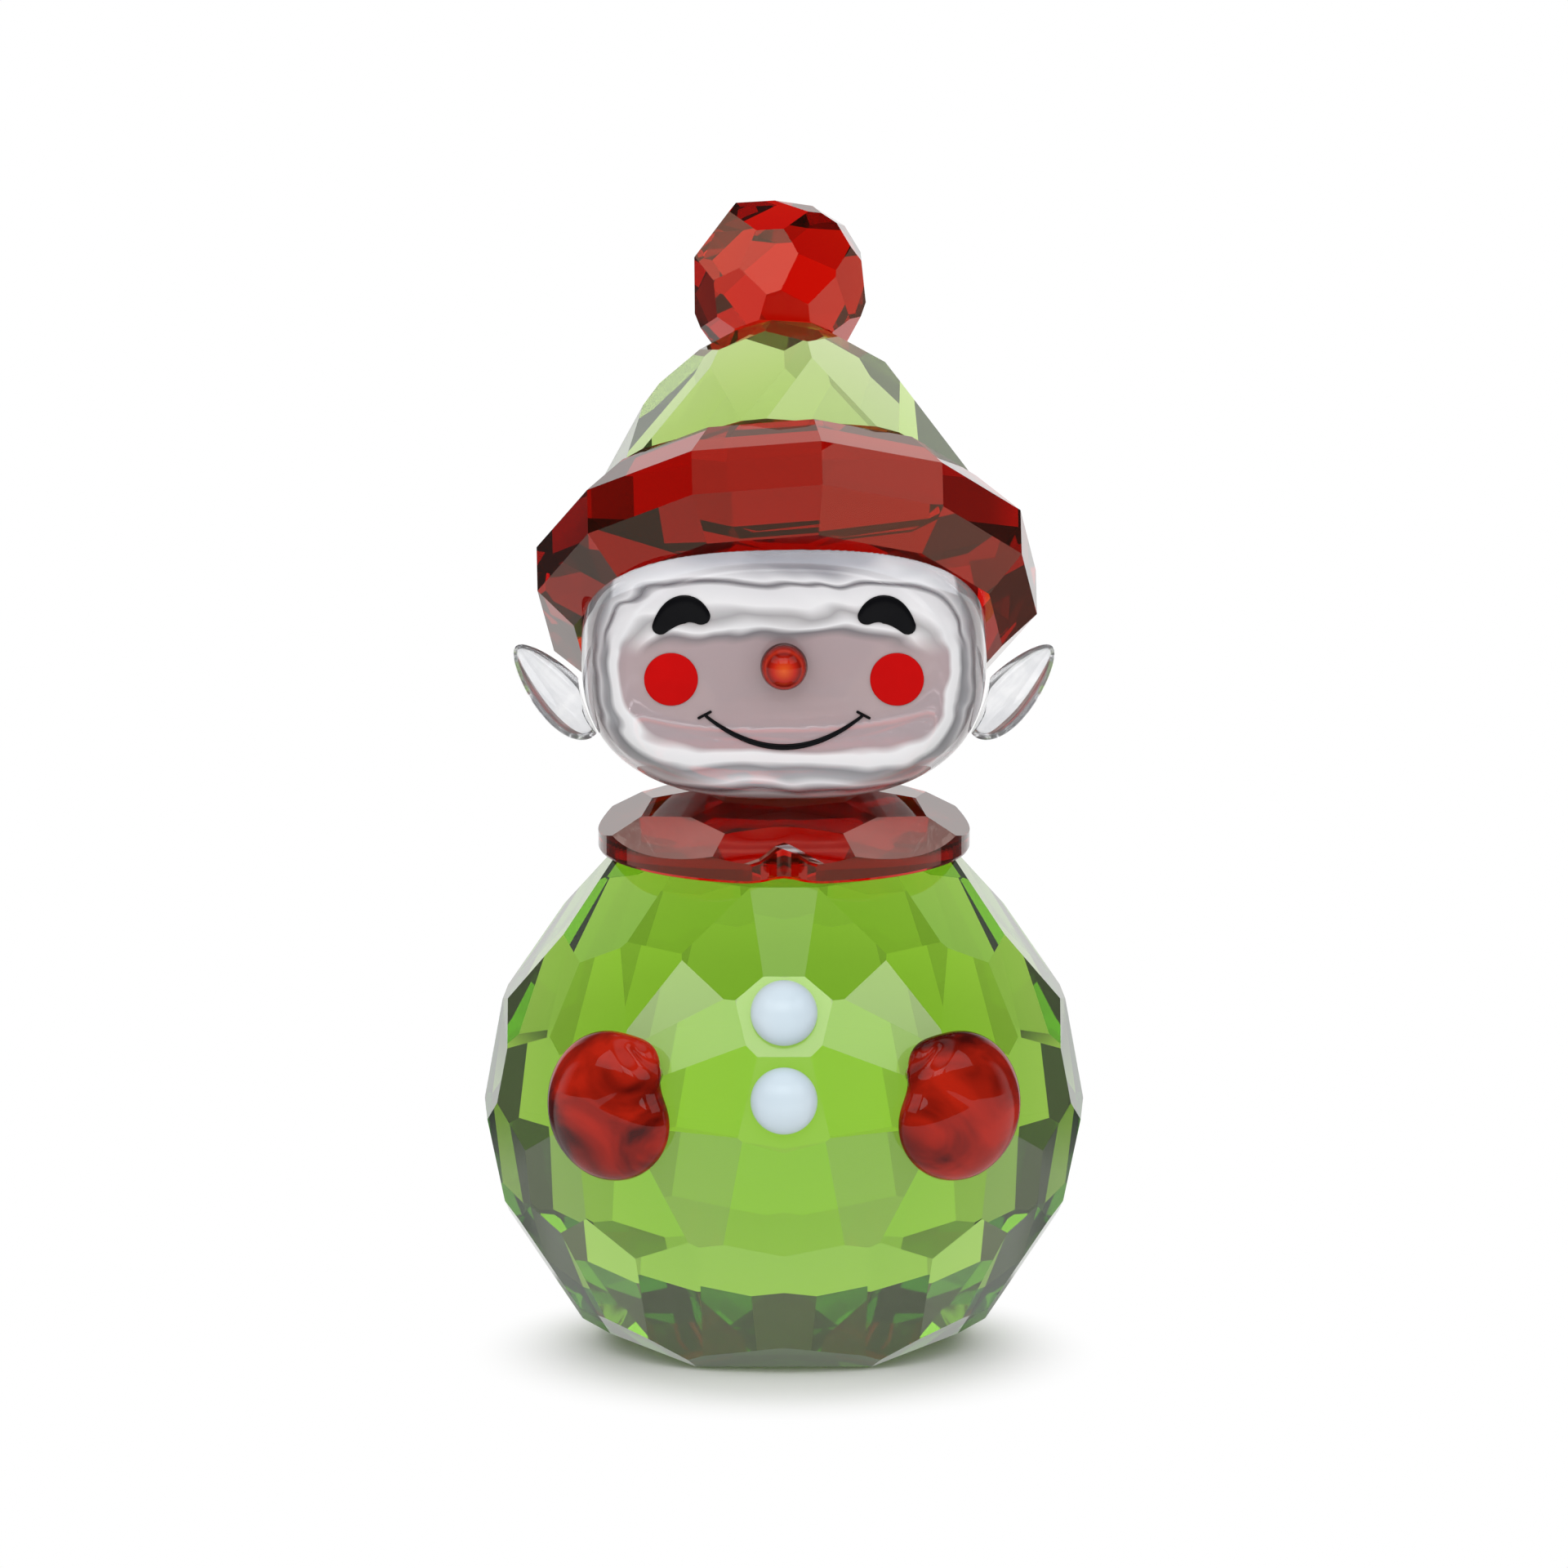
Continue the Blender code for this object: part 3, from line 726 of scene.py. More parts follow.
# The nose's glowing middle and dark rim are painted light, from the bead's rings
RED_BEAD = Bead(
    name="red bead glass",
    depth_colour=(0.9, 0.08, 0.04),
    depth_density=330.0,
    index=1.3,
    clearness=0.12,
    roughness=0.02,
)
BLACK_ENAMEL = Enamel(
    name="black enamel",
    colour=(0.005, 0.005, 0.006),
    colour_low=(0.003, 0.003, 0.004),
    roughness=0.16,
    gloss=0.08,
)
RED_ENAMEL = Enamel(
    name="red enamel",
    colour=(0.54, 0.0, 0.0),
    colour_low=(0.46, 0.0, 0.0),
    roughness=0.45,
    gloss=0.08,
    grain_scale=260.0,
)
WHITE_PEARL = Enamel(
    name="white pearl",
    colour=(0.63, 0.73, 0.80),
    colour_low=(0.58, 0.69, 0.77),
    roughness=0.25,
    gloss=0.4,
    grain_scale=150.0,
    grain=0.03,
)


class Paint:
    """Makes each finish once, and hands it to the pieces that wear it."""

    def __init__(self) -> None:
        """Starts with no finish made."""
        self.made: dict[str, bpy.types.Material] = {}

    def of(self, finish: Glass | Enamel) -> bpy.types.Material:
        """Looks up a finish's material.

        Args:
            finish: The finish.

        Returns:
            Its material, made at its first use.
        """
        if finish.name not in self.made:
            self.made[finish.name] = finish.material()
        return self.made[finish.name]


# Pieces


def add_piece(
    name: str,
    mesh: bpy.types.Mesh,
    material: bpy.types.Material,
    stands_for: str,
) -> None:
    """Puts a mesh in the scene as a piece that rides on the figurine.

    Args:
        name: The piece's name.
        mesh: Its mesh, in place.
        material: Its finish.
        stands_for: The node that it replaces.
    """
    mesh.materials.append(material)
    piece = bpy.data.objects.new(name, mesh)
    bpy.context.scene.collection.objects.link(piece)
    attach(piece, "root")
    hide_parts(stands_for)
    LOG.info("made %s with %d points", name, len(mesh.vertices))


@dataclass(frozen=True)
class Body:
    """The ball of flats that carries the mittens and the buttons, by its size in the CAD."""

    centre_height: float = 17.7 * MM
    flat_distance: float = 20.1 * MM

    def seat(self, azimuth: float, elevation: float, stands_off: float) -> Seat:
        """The seat on one of the flats.

        Args:
            azimuth: Where the flat faces, in degrees from the front towards +X.
            elevation: Where it faces, in degrees above level.
            stands_off: How far in front of the flat the seat is.

        Returns:
            The seat.
        """
        outward = facing(azimuth, elevation)
        centre = np.array([0.0, 0.0, self.centre_height])
        return Seat(centre + outward * (self.flat_distance + stands_off), outward)


@dataclass(frozen=True)
class HatSeat:
    """The slanted flat on the head that the hat sits on."""

    pitch: float = math.radians(39.5)
    roll: float = math.radians(-1.6)
    aside: float = 0.3 * MM
    backward: float = 2.9 * MM
    above: float = 0.2 * MM

    def normal(self) -> np.ndarray:
        """Works out the hat's axis.

        Returns:
            The unit vector (0, 0, 1) turned back by the pitch, then aside by the roll.
        """
        return np.array([
            math.cos(self.pitch) * math.sin(self.roll),
            math.sin(self.pitch),
            math.cos(self.pitch) * math.cos(self.roll),
        ])

    def distance(self) -> float:
        """How far the flat lies from the middle of the head."""
        return float(self.normal() @ np.array([self.aside, self.backward, self.above]))


@dataclass(frozen=True)
class Head:
    """The clear head with its face."""

    centre_height: float = 48.15 * MM
    half_width: float = 13.95 * MM
    half_depth: float = 12.8 * MM
    half_height: float = 9.7 * MM
    roundness: float = 2.6
    face_depth: float = 9.4 * MM
    neck_depth: float = 9.45 * MM
    sharpness: float = 60.0
    seat: HatSeat = HatSeat()
    rings: int = 220
    sides: int = 340

    def centre(self) -> np.ndarray:
        """The middle of the head."""
        return np.array([0.0, 0.0, self.centre_height])

    def halves(self) -> np.ndarray:
        """Half the width, the depth and the height of the rounded block."""
        return np.array([self.half_width, self.half_depth, self.half_height])

    def face(self, stands_off: float) -> Seat:
        """The seat on the face, a given way in front of it."""
        place = self.centre() + np.array([0.0, -self.face_depth - stands_off, 0.0])
        return Seat(place, np.array([0.0, -1.0, 0.0]))

    def surface(self) -> np.ndarray:
        """The head's points.

        Returns:
            For each direction d, d divided by a gauge: the p-norm, with a high p, of the rounded
            block's gauge (|x/a|^n + |y/b|^n + |z/c|^n)^(1/n) and of each flat's d . normal over
            its distance. Where two of them are close, the edge comes out softly rounded.
        """
        directions = ball_directions(self.rings, self.sides)
        powers = np.abs(directions / self.halves()) ** self.roundness
        block = powers.sum(-1) ** (1 / self.roundness)
        flats = (
            (np.array([0.0, -1.0, 0.0]), self.face_depth),
            (np.array([0.0, 0.0, -1.0]), self.neck_depth),
            (self.seat.normal(), self.seat.distance()),
        )
        gauges = [block] + [np.maximum(directions @ normal, 0) / far for normal, far in flats]
        top = np.max(gauges, axis=0)
        shares = sum((gauge / top) ** self.sharpness for gauge in gauges)
        blend = top * shares ** (1 / self.sharpness)
        return directions / blend[..., None] + self.centre()

    def build(self, paint: Paint) -> None:
        """Builds the head."""
        mesh = closed_mesh("head_surface", self.surface())
        add_piece("clear_head", mesh, paint.of(CLEAR_HEAD), "head")


@dataclass(frozen=True)
class Stroke:
    """One raised brush stroke of enamel, along a parabola through three points in millimetres."""

    start: Pair
    middle: Pair
    end: Pair
    end_half_width: float
    middle_half_width: float
    swell: float = 0.8
    height: float = 0.15 * MM
    fullness: float = 0.7
    steps: int = 90
    sides: int = 32

    def line(self) -> np.ndarray:
        """The stroke's middle line.

        Returns:
            Points of the parabola (1-t)^2 start + 2t(1-t) pull + t^2 end, in metres, where the
            pull is placed so that the parabola goes through the middle point at t = 1/2.
        """
        way = np.linspace(0.0, 1.0, self.steps)[:, None]
        start, middle, end = (np.array(point) * MM for point in (self.start, self.middle, self.end))
        pull = 2 * middle - (start + end) / 2
        rest = 1 - way
        return rest**2 * start + 2 * way * rest * pull + way**2 * end

    def half_widths(self, line: np.ndarray) -> np.ndarray:
        """The stroke's half width along its line.

        Args:
            line: The middle line's points.

        Returns:
            The end's half width plus sin(pi t)^swell of the way to the middle's. Both ends close
            like a half circle, by the square root of one less the square of the way in.
        """
        steps = np.linalg.norm(np.diff(line, axis=0), axis=1)
        reach = np.concatenate([[0.0], np.cumsum(steps)])
        swell = np.abs(np.sin(math.pi * np.linspace(0.0, 1.0, self.steps))) ** self.swell
        half = self.end_half_width + (self.middle_half_width - self.end_half_width) * swell
        from_end = np.minimum(reach, reach[-1] - reach) / self.end_half_width
        return half * np.sqrt(np.clip(1 - np.clip(1 - from_end, 0, 1) ** 2, 0, 1))

    def surface(self) -> np.ndarray:
        """The stroke's points, on a flat at z = 0.

        Returns:
            A flat-bottomed oval carried along the line: at the angle a round it, a point lies the
            half width times cos a across, and the height times sin(a)^fullness up. Near the ends
            the height shrinks with the half width.
        """
        line = self.line()
        half = self.half_widths(line)
        along = np.gradient(line, axis=0)
        along = along / np.linalg.norm(along, axis=1, keepdims=True)
        across = np.stack([-along[:, 1], along[:, 0]], axis=1)
        turn = np.arange(self.sides) * 2 * math.pi / self.sides
        sideways = half[:, None] * np.cos(turn)[None, :]
        rise = np.clip(np.sin(turn), 0, 1) ** self.fullness
        up = (self.height * np.clip(half / self.end_half_width, 0, 1))[:, None] * rise[None, :]
        flat = line[:, None, :] + sideways[..., None] * across[:, None, :]
        return np.concatenate([flat, up[..., None]], axis=-1)


@dataclass(frozen=True)
class Face:
    """The enamel on the face, and the nose. The points of strokes are in millimetres."""

    head: Head
    print_line: float = 0.05 * MM
    glue_line: float = 0.3 * MM
    eye_points: tuple[Pair, Pair, Pair] = ((8.8, 3.2), (7.0, 4.88), (5.25, 3.95))
    eye_half_widths: Pair = (0.38 * MM, 1.0 * MM)
    mouth_corner: Pair = (5.45, -2.5)
    mouth_low: Pair = (0.0, -4.75)
    mouth_half_widths: Pair = (0.1 * MM, 0.21 * MM)
    mouth_steps: int = 160
    tick_reach: Pair = (0.49, -0.26)
    tick_height: float = 0.14 * MM
    cheek_aside: float = 7.75 * MM
    cheek_radius: float = 1.85 * MM
    cheek_height: float = 0.15 * MM
    cheek_fullness: float = 0.4
    cheek_grid: tuple[int, int] = (40, 72)
    nose_radius: float = 1.63 * MM
    nose_rise: float = 1.1 * MM
    nose_stands_out: float = 2.4 * MM
    nose_sharpness: int = 40
    nose_grid: tuple[int, int] = (90, 120)

    def eye(self, side: Side) -> Stroke:
        """The crescent of one laughing eye."""
        points = [(side.value * x, y) for x, y in self.eye_points]
        return Stroke(*points, *self.eye_half_widths)

    def smile(self) -> Stroke:
        """The smiling line."""
        x, y = self.mouth_corner
        ends = (-x, y), self.mouth_low, (x, y)
        return Stroke(*ends, *self.mouth_half_widths, steps=self.mouth_steps)

    def tick(self, side: Side) -> Stroke:
        """The short stroke across one end of the smile.

        Args:
            side: Which end.

        Returns:
            A straight stroke through the mouth's corner, reaching as far on either side of it.
        """
        x, y = self.mouth_corner
        aside, up = self.tick_reach
        points = [(side.value * (x + way * aside), y + way * up) for way in (1, 0, -1)]
        half_width = self.mouth_half_widths[0]
        return Stroke(*points, half_width, half_width, height=self.tick_height)

    def cheek(self, side: Side) -> np.ndarray:
        """The points of one round spot, which has a soft rim.

        Args:
            side: Which cheek.

        Returns:
            The radius times cos h out from its middle, and the height times sin(h)^fullness up,
            flat below.
        """
        height, turn = ball_grid(*self.cheek_grid)
        spread = self.cheek_radius * np.cos(height)
        rise = self.cheek_height * np.clip(np.sin(height), 0, 1) ** self.cheek_fullness
        aside = side.value * self.cheek_aside
        return np.stack([aside + spread * np.cos(turn), spread * np.sin(turn), rise], axis=-1)

    def nose(self) -> np.ndarray:
        """The nose's points.

        Returns:
            A ball whose back is cut flat at the face: each direction times the radius over the
            p-norm, with a high p, of 1 and of its way backwards times radius over the cut's depth.
        """
        directions = ball_directions(*self.nose_grid)
        back = self.nose_stands_out - self.nose_radius
        flat = np.maximum(-directions[..., 2], 0) * self.nose_radius / back
        gauge = (1 + flat**self.nose_sharpness) ** (1 / self.nose_sharpness)
        middle = np.array([0.0, self.nose_rise, back])
        return directions * (self.nose_radius / gauge)[..., None] + middle

    def build(self, paint: Paint) -> None:
        """Builds the eyes, the cheeks, the mouth and the nose.

        Args:
            paint: The finishes.
        """
        print_seat = self.head.face(self.print_line)
        black = paint.of(BLACK_ENAMEL)
        red = paint.of(RED_ENAMEL)
        for side in Side:
            eye = closed_mesh("eye_surface", print_seat.put(self.eye(side).surface()))
            add_piece(f"crescent_eye_{side.word}", eye, black, f"eye_{side.word}")
            cheek = closed_mesh("cheek_surface", print_seat.put(self.cheek(side)))
            add_piece(f"round_cheek_{side.word}", cheek, red, f"cheek_{side.word}")
        strokes = {"line": self.smile(), **{f"tick_{side.word}": self.tick(side) for side in Side}}
        for part, stroke in strokes.items():
            mesh = closed_mesh("smile_surface", print_seat.put(stroke.surface()))
            add_piece(f"smile_{part}", mesh, black, "mouth")
        nose = closed_mesh("nose_surface", self.head.face(self.glue_line).put(self.nose()))
        add_piece("ball_nose", nose, paint.of(RED_BEAD), "nose")


@dataclass(frozen=True)
class Ear:
    """A clear leaf with a blunt point and a dished front."""

    head: Head
    length: float = 8.2 * MM
    width: float = 3.5 * MM
    thickness: float = 3.0 * MM
    taper: float = 0.24
    point: float = 0.02
    dish_depth: float = 0.45
    dish_width: float = 0.55
    lean: float = math.radians(41.5)
    sweep: float = math.radians(8)
    reach: float = 15.75 * MM
    drop: float = 2.8 * MM
    clearance: float = 0.3 * MM
    most_push: float = 2.0
    rings: int = 120
    sides: int = 120

    def leaf(self) -> np.ndarray:
        """The leaf's points before it leans, round its own middle.

        Returns:
            An oval section carried up the leaf, smaller towards the point by the shares taper and
            point, with a bell-shaped hollow down the middle of its front.
        """
        height, turn = ball_grid(self.rings, self.sides)
        up = np.sin(height)
        ring = np.cos(height) * (1 - self.taper * up) * (1 - self.point * up**2)
        deep = ring * np.sin(turn)
        hollow = np.exp(-((np.cos(turn) / self.dish_width) ** 2))
        dish = self.dish_depth * np.clip(-deep, 0, 1) * hollow
        across = ring * np.cos(turn) * self.width / 2
        return np.stack([across, (deep + dish) * self.thickness / 2, up * self.length / 2], axis=-1)

    def turned(self, side: Side) -> np.ndarray:
        """How the leaf is turned.

        Args:
            side: Which ear.

        Returns:
            A square array that sweeps the leaf's point back, and then leans it outwards.
        """
        lean = side.value * self.lean
        swept = np.array([
            [1.0, 0.0, 0.0],
            [0.0, math.cos(self.sweep), math.sin(self.sweep)],
            [0.0, -math.sin(self.sweep), math.cos(self.sweep)],
        ])
        leant = np.array([
            [math.cos(lean), 0.0, math.sin(lean)],
            [0.0, 1.0, 0.0],
            [-math.sin(lean), 0.0, math.cos(lean)],
        ])
        return leant @ swept

    def surface(self, side: Side) -> np.ndarray:
        """The ear's points.

        Args:
            side: Which ear.

        Returns:
            The leaf, turned and put beside the head. Points that would lie inside the head, where
            the block's gauge is under one, are pushed out to it.
        """
        centre = self.head.centre()
        place = centre + np.array([side.value * self.reach, 0.0, -self.drop])
        points = self.leaf() @ self.turned(side).T + place
        away = points - centre
        roundness = self.head.roundness
        shares = np.abs(away / (self.head.halves() + self.clearance)) ** roundness
        gauge = shares.sum(-1) ** (1 / roundness)
        push = np.where(gauge < 1, 1 / np.maximum(gauge, 1 / self.most_push), 1.0)
        return away * push[..., None] + centre

    def build(self, paint: Paint) -> None:
        """Builds both ears.

        Args:
            paint: The finishes.
        """
        for side in Side:
            mesh = closed_mesh("ear_surface", self.surface(side))
            name = f"leaf_ear_{side.word}"
            add_piece(name, mesh, paint.of(CLEAR_EAR), f"ear_{side.word}")


@dataclass(frozen=True)
class Mitten:
    """A smooth pebble shaped like a mitten, its thumb towards the buttons.

    The thumb and the notch are each an angle round the edge, a share of the radius and a spread.
    """

    body: Body
    azimuth: float = 36.0
    elevation: float = 5.0
    radius: float = 5.2 * MM
    height: float = 3.2 * MM
    back: float = 0.65 * MM
    fullness: float = 0.85
    thumb: Point = (math.radians(51), 0.23, 0.39)
    notch: Point = (math.radians(33), -0.26, 0.66)
    raise_by: float = 0.45 * MM
    inward: float = 0.72 * MM
    glue_line: float = 0.3 * MM
    crease_depth: float = 0.55 * MM
    crease_width: float = 0.42 * MM
    crease_start: Pair = (1.5 * MM, 4.4 * MM)
    crease_slant: float = math.radians(-39.7)
    crease_middle: float = 1.8 * MM
    crease_reach: float = 1.9 * MM
    rings: int = 150
    sides: int = 200

    def edge(self, angle: np.ndarray) -> np.ndarray:
        """How far the edge lies from the middle.

        Args:
            angle: The angles round it.

        Returns:
            A circle, with a thumb and a dip that are each a soft bell, exp(-(away / spread)^2).
        """
        reach = np.full_like(angle, self.radius)
        for place, size, spread in (self.thumb, self.notch):
            away = (angle - place + math.pi) % (2 * math.pi) - math.pi
            reach += self.radius * size * np.exp(-((away / spread) ** 2))
        return reach

    def crease(self, x: np.ndarray, y: np.ndarray) -> np.ndarray:
        """The groove that parts the thumb from the palm.

        Args:
            x: How far the points lie towards the thumb.
            y: How far they lie up.

        Returns:
            How deep it is there: a bell across a slanting line, faded out at both of its ends.
        """
        right = x - self.crease_start[0]
        up = y - self.crease_start[1]
        off = up * math.cos(self.crease_slant) - right * math.sin(self.crease_slant)
        along = right * math.cos(self.crease_slant) + up * math.sin(self.crease_slant)
        beyond = (along - self.crease_middle) / self.crease_reach
        bell = np.exp(-((off / self.crease_width) ** 2))
        return self.crease_depth * bell * np.exp(-(beyond**4))

    def surface(self, side: Side) -> np.ndarray:
        """The pebble's points.

        Args:
            side: Which mitten.

        Returns:
            The edge times cos(h)^fullness across, and a dome of sin(h) high, less the crease and
            cut flat behind.
        """
        height, turn = ball_grid(self.rings, self.sides)
        reach = self.edge(turn) * np.abs(np.cos(height)) ** self.fullness
        x = reach * np.cos(turn)
        y = reach * np.sin(turn)
        up = np.sin(height)
        dome = np.where(up > 0, up * (self.height - self.back), up * 2 * self.back)
        dome = np.maximum(dome - np.where(up > 0, self.crease(x, y), 0), -self.back)
        grid = np.stack([-side.value * x, y, dome], axis=-1)
        shift = np.array([-side.value * self.inward, self.raise_by, self.glue_line + self.back])
        return self.body.seat(side.value * self.azimuth, self.elevation, 0.0).put(grid + shift)

    def build(self, paint: Paint) -> None:
        """Builds both mittens.

        Args:
            paint: The finishes.
        """
        for side in Side:
            mesh = closed_mesh("mitten_surface", self.surface(side))
            name = f"pebble_mitten_{side.word}"
            add_piece(name, mesh, paint.of(RED_PEBBLE), f"mitten_{side.word}")


@dataclass(frozen=True)
class Button:
    """A half pearl, and the heights of the flats that the two of them sit on."""

    body: Body
    elevations: tuple[tuple[str, float], ...] = (("upper", 26.0), ("lower", 9.0))
    radius: float = 2.3 * MM
    height: float = 1.9 * MM
    glue_line: float = 0.3 * MM
    rim: float = 0.35
    rings: int = 120
    sides: int = 120

    def surface(self) -> np.ndarray:
        """The half pearl's points, on a flat at z = 0.

        Returns:
            The radius times cos h across and the height times sin h up. Below, a flat closes it,
            whose points lie the radius times cos(h)^rim out.
        """
        height, turn = ball_grid(self.rings, self.sides)
        spread = self.radius * np.cos(height) ** np.where(height < 0, self.rim, 1.0)
        rise = np.where(height > 0, self.height * np.sin(height), 0.0)
        return np.stack([spread * np.cos(turn), spread * np.sin(turn), rise], axis=-1)

    def build(self, paint: Paint) -> None:
        """Builds both buttons.

        Args:
            paint: The finishes.
        """
        for word, elevation in self.elevations:
            seat = self.body.seat(0.0, elevation, self.glue_line)
            mesh = closed_mesh("button_surface", seat.put(self.surface()))
            name = f"pearl_button_{word}"
            add_piece(name, mesh, paint.of(WHITE_PEARL), f"button_{word}")


@dataclass(frozen=True)
class Stones:
    """The stones whose solids stay, with their finishes."""

    finishes: tuple[tuple[str, Glass], ...] = (
        ("body", GREEN_CRYSTAL),
        ("hat_crown", PALE_GREEN_CRYSTAL),
        ("hat_brim", RED_CRYSTAL),
        ("bobble", RED_BOBBLE),
        ("collar", RED_COLLAR),
    )

    def dress(self, nodes: dict[str, bpy.types.Object], paint: Paint) -> None:
        """Gives each stone its finish.

        Args:
            nodes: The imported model's objects by name.
            paint: The finishes.
        """
        for name, finish in self.finishes:
            nodes[name].material_slots[0].material = paint.of(finish)
            LOG.info("dressed %s", name)


# Studio


@dataclass(frozen=True)
class Cards:
    """Two dark cards behind the figurine, one on either side, which only gloss and glass see.

    Each hides the directions whose part along X, left or right, lies between inner and outer.
    """

    inner: float = 0.60
    outer: float = 0.90
    blur: float = 0.05

    def cover(self, nodes: Wiring, aside: Socket) -> Socket:
        """Works out where the cards stand.

        Args:
            nodes: The nodes to add to.
            aside: The direction's part along X, without its sign.

        Returns:
            1 where a card stands, 0 elsewhere, and a soft change over the blur at each edge.
        """
        past_inner = nodes.rise(aside, self.inner, self.inner + self.blur)
        before_outer = nodes.rise(aside, self.outer + self.blur, self.outer)
        return nodes.product(past_inner, before_outer)


@dataclass(frozen=True)
class Surroundings:
    """The light from all round, by the direction that is looked in.

    A white screen stands low behind the figurine, with the dark cards before it. There is a pale
    ceiling, and the rest of the room is nearly dark. Each pair is where a light starts and where
    it is full, as the direction's part along an axis.
    """

    cards: Cards = Cards()
    screen_depth: Pair = (0.0, 0.3)
    screen_height: Pair = (0.62, 0.28)
    screen_light: float = 0.95
    ceiling_height: Pair = (0.86, 0.95)
    ceiling_light: float = 0.9
    least_light: float = 0.07
    matt_light: float = 0.63
    camera_light: float = 1.0

    def build(self) -> None:
        """Lights the room.

        The camera sees plain white, gloss and glass see the screen, the cards, the ceiling and the
        dark room, and matt surfaces get an even light.
        """
        world = bpy.data.worlds.new("studio")
        bpy.context.scene.world = world
        world.use_nodes = True
        nodes = Wiring(world.node_tree)
        nodes.tree.nodes.clear()
        direction = nodes.split(nodes.add("ShaderNodeTexCoord").outputs["Generated"])
        rays = nodes.add("ShaderNodeLightPath").outputs
        covered = self.cards.cover(nodes, nodes.calculate("ABSOLUTE", direction["X"]))
        screen = nodes.product(
            nodes.rise(direction["Y"], *self.screen_depth),
            nodes.rise(direction["Z"], *self.screen_height),
            nodes.calculate("SUBTRACT", 1.0, covered),
            self.screen_light,
        )
        overhead = nodes.rise(direction["Z"], *self.ceiling_height)
        ceiling = nodes.product(overhead, self.ceiling_light)
        brighter = nodes.calculate("MAXIMUM", screen, ceiling)
        seen = nodes.calculate("MAXIMUM", brighter, self.least_light)
        matt = nodes.mix(rays["Is Diffuse Ray"], seen, self.matt_light)
        strength = nodes.mix(rays["Is Camera Ray"], matt, self.camera_light)
        light = nodes.add("ShaderNodeBackground", {"Color": (*WHITE, 1.0), "Strength": strength})
        output = nodes.add("ShaderNodeOutputWorld")
        nodes.feed(output.inputs["Surface"], light.outputs["Background"])


@dataclass(frozen=True)
class Floor:
    """The white floor, which keeps the figurine's shadow close by.

    The shadow and the lit part are each a pair of distances from the middle, where plain light
    starts to take the paper's place and where it has done so.
    """

    cards: Cards = Cards()
    half: float = 0.9
    paper: Colour = (0.95, 0.95, 0.95)
    roughness: float = 0.9
    middle: Point = (0.0, -0.006, 0.0)
    shadow: Pair = (0.011, 0.022)
    lit: Pair = (0.035, 0.07)
    least_lit: float = 0.45
    # painted shadow: how much darker gloss and glass see the floor behind, where a card stands in
    # the surroundings
    painted_card_shadow: float = 0.9

    def material(self) -> bpy.types.Material:
        """Makes the floor's finish.

        Returns:
            Matt paper near the figurine and plain white light further off, as the camera sees it.
            Gloss and glass see it lit throughout, less so under the figurine, and darker behind it
            where a card stands in the surroundings: a painted shadow of the cards.
        """
        nodes = MaterialNodes("floor paper")
        nodes.shade({"Base Color": (*self.paper, 1.0), "Roughness": self.roughness})
        nodes.shade({"Specular IOR Level": 0.0})
        rays = nodes.add("ShaderNodeLightPath").outputs
        bent = nodes.calculate("ADD", rays["Is Glossy Ray"], rays["Is Transmission Ray"])
        through = nodes.calculate("MINIMUM", bent, 1.0)
        far = nodes.length(nodes.vector("SUBTRACT", nodes.place, self.middle))
        plain = nodes.product(nodes.rise(far, *self.shadow), rays["Is Camera Ray"])
        under = nodes.calculate("MAXIMUM", nodes.rise(far, *self.lit), self.least_lit)
        either = nodes.calculate("ADD", plain, nodes.product(under, through))
        shown = nodes.calculate("MINIMUM", either, 1.0)
        parts = nodes.split(nodes.place)
        aside = nodes.calculate("DIVIDE", nodes.calculate("ABSOLUTE", parts["X"]), far)
        behind = nodes.calculate("GREATER_THAN", parts["Y"], 0.0)
        covered = self.cards.cover(nodes, aside)
        # painted shadow of the cards on the floor, seen by gloss and glass
        dark = nodes.product(covered, behind, through, self.painted_card_shadow)
        light = nodes.calculate("SUBTRACT", 1.0, dark)
        glow = nodes.add("ShaderNodeEmission", {"Color": (*WHITE, 1.0), "Strength": light})
        mix = nodes.add("ShaderNodeMixShader", {"Fac": shown})
        nodes.feed(mix.inputs[1], nodes.shader.outputs["BSDF"])
        nodes.feed(mix.inputs[2], glow.outputs["Emission"])
        nodes.feed(nodes.output.inputs["Surface"], mix.outputs["Shader"])
        return nodes.material

    def build(self) -> None:
        """Lays the floor, a square at z = 0."""
        half = self.half
        corners = [(-half, -half, 0), (half, -half, 0), (half, half, 0), (-half, half, 0)]
        mesh = bpy.data.meshes.new("floor")
        mesh.from_pydata(corners, [], [(0, 1, 2, 3)])
        mesh.materials.append(self.material())
        floor = bpy.data.objects.new("floor", mesh)
        bpy.context.scene.collection.objects.link(floor)


@dataclass(frozen=True)
class Lamp:
    """A soft box, by where it hangs as seen from the figurine."""

    name: str
    azimuth: float
    elevation: float
    away: float
    width: float
    height: float
    power: float


@dataclass(frozen=True)
class Camera:
    """The camera, by where it stands as seen from the figurine, and its lens in millimetres."""

    azimuth: float = 0.0
    elevation: float = 12.0
    away: float = 2.7
    lens: float = 900.0
    sensor: float = 36.0
    clip_end: float = 20.0


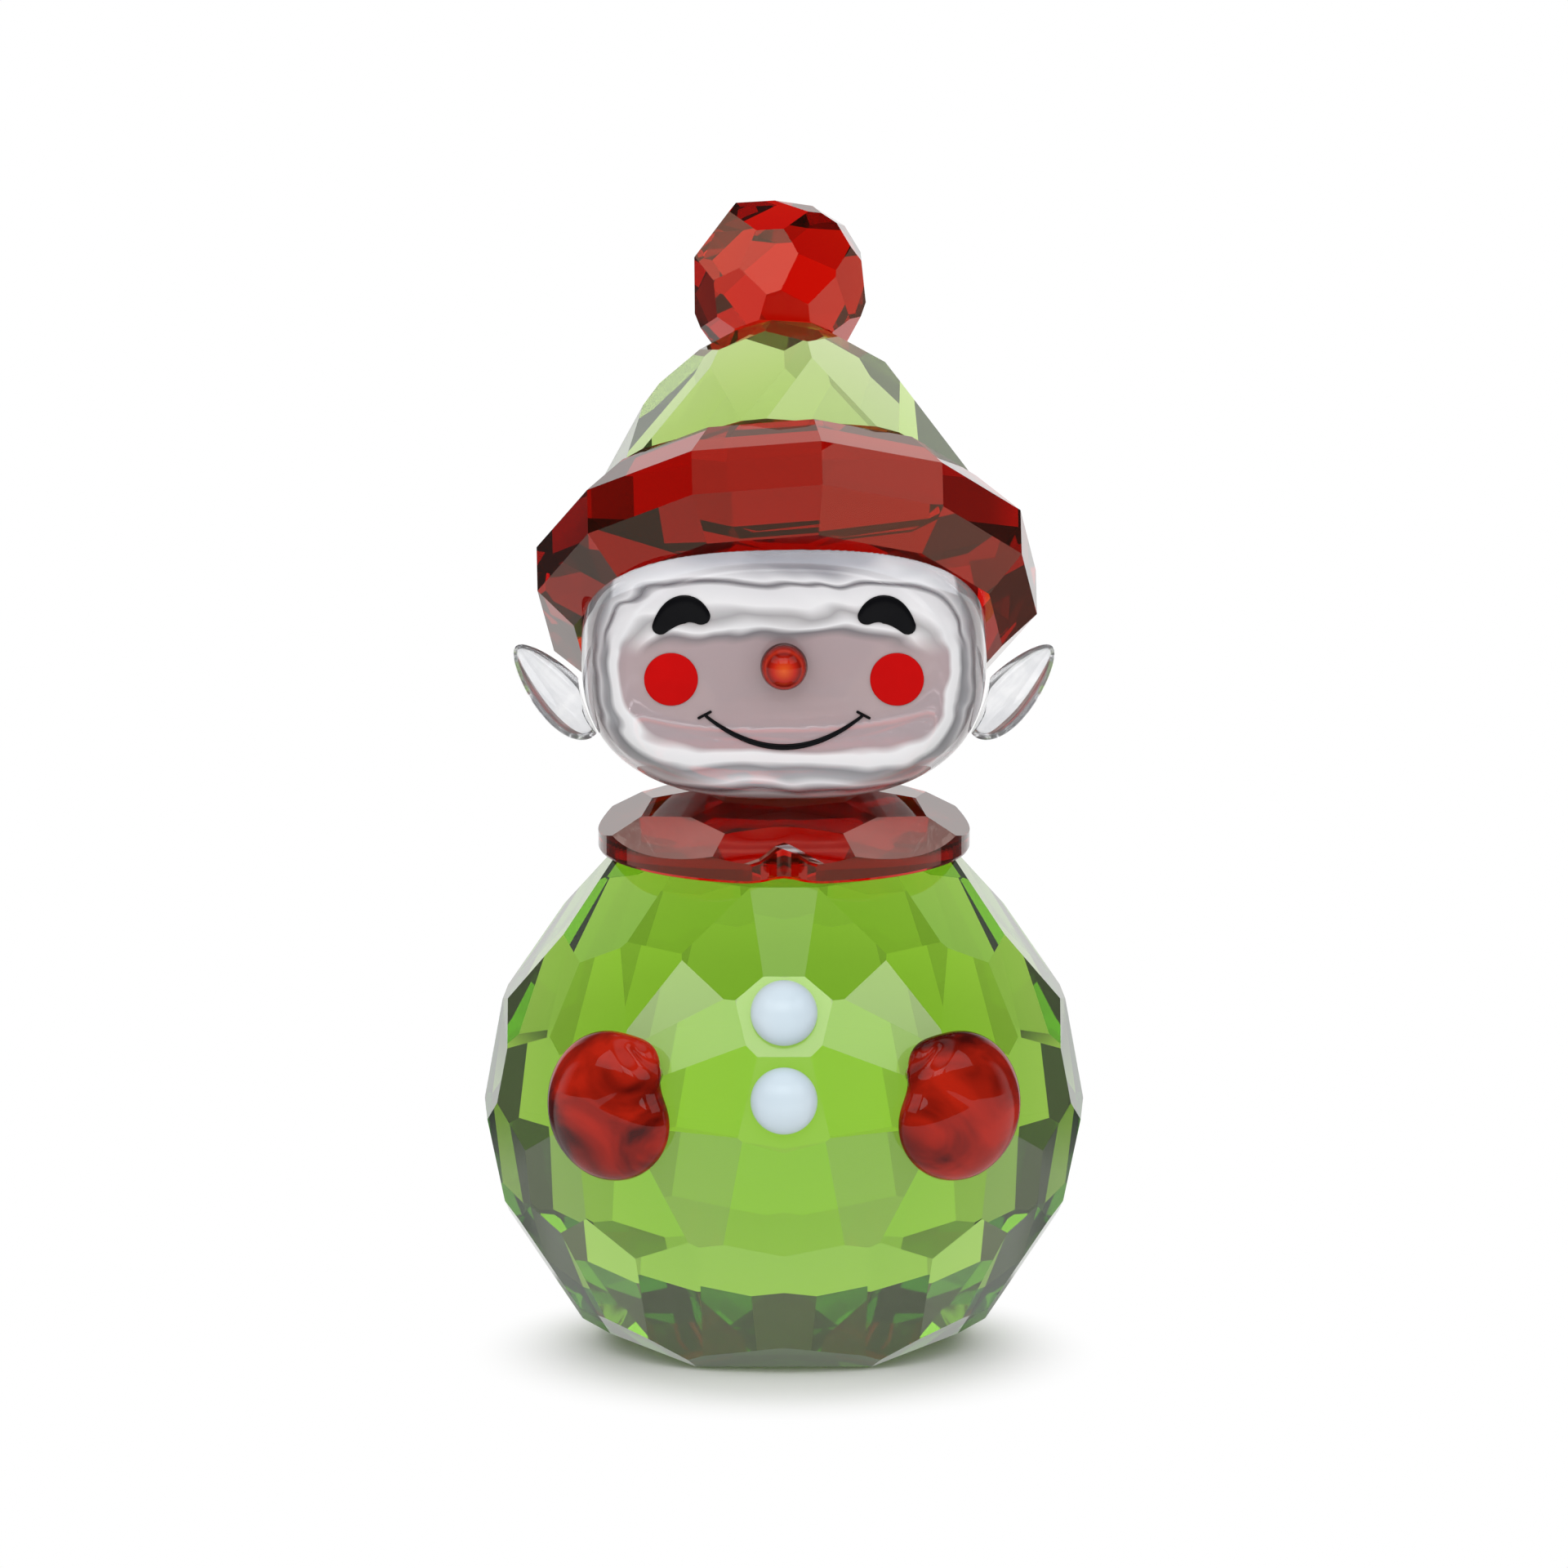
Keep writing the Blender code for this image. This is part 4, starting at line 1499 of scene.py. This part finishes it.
@dataclass(frozen=True)
class Studio:
    """The floor, the surroundings, the lamps and the camera."""

    target: Point = (0.0, 0.0, 0.0388)
    floor: Floor = Floor()
    surroundings: Surroundings = Surroundings()
    lamps: tuple[Lamp, ...] = (
        Lamp("front_box", -3.0, 41.0, 0.5, 0.36, 0.24, 0.66),
        Lamp("left_box", -54.0, 38.0, 0.5, 0.34, 0.26, 0.38),
        Lamp("right_box", 54.0, 38.0, 0.5, 0.34, 0.26, 0.38),
    )
    camera: Camera = Camera()

    def aim(self, name: str, data: bpy.types.ID, placed: Lamp | Camera) -> bpy.types.Object:
        """Puts a lamp or the camera in the scene, turned to the target.

        Args:
            name: Its name.
            data: The light or the camera itself.
            placed: Where it is, as seen from the target.

        Returns:
            The new object.
        """
        outward = facing(placed.azimuth, placed.elevation)
        right = unit(np.cross(UP, outward))
        matrix = np.eye(4)
        matrix[:3, :3] = np.stack([right, np.cross(outward, right), outward], axis=1)
        matrix[:3, 3] = np.array(self.target) + outward * placed.away
        thing = bpy.data.objects.new(name, data)
        thing.matrix_world = Matrix(matrix.tolist())
        bpy.context.scene.collection.objects.link(thing)
        return thing

    def add_lamps(self) -> None:
        """Hangs the soft boxes."""
        for lamp in self.lamps:
            data = bpy.data.lights.new(lamp.name, "AREA")
            data.shape = "RECTANGLE"
            data.size = lamp.width
            data.size_y = lamp.height
            data.energy = lamp.power
            self.aim(lamp.name, data, lamp)

    def add_camera(self) -> None:
        """Sets up the camera."""
        data = bpy.data.cameras.new("camera")
        data.sensor_width = self.camera.sensor
        data.lens = self.camera.lens
        data.clip_end = self.camera.clip_end
        bpy.context.scene.camera = self.aim("camera", data, self.camera)

    def build(self) -> None:
        """Sets up the whole studio."""
        self.floor.build()
        self.surroundings.build()
        self.add_lamps()
        self.add_camera()
        bpy.context.scene.view_settings.view_transform = "Standard"


def main() -> None:
    """Loads the frame, builds and dresses every piece, and sets up the studio."""
    logging.basicConfig(level=logging.INFO, format="%(name)s: %(message)s")
    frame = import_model()
    paint = Paint()
    body = Body()
    head = Head()
    Stones().dress(frame["nodes"], paint)
    head.build(paint)
    Face(head).build(paint)
    Ear(head).build(paint)
    Mitten(body).build(paint)
    Button(body).build(paint)
    Studio().build()


if __name__ == "__main__":
    main()
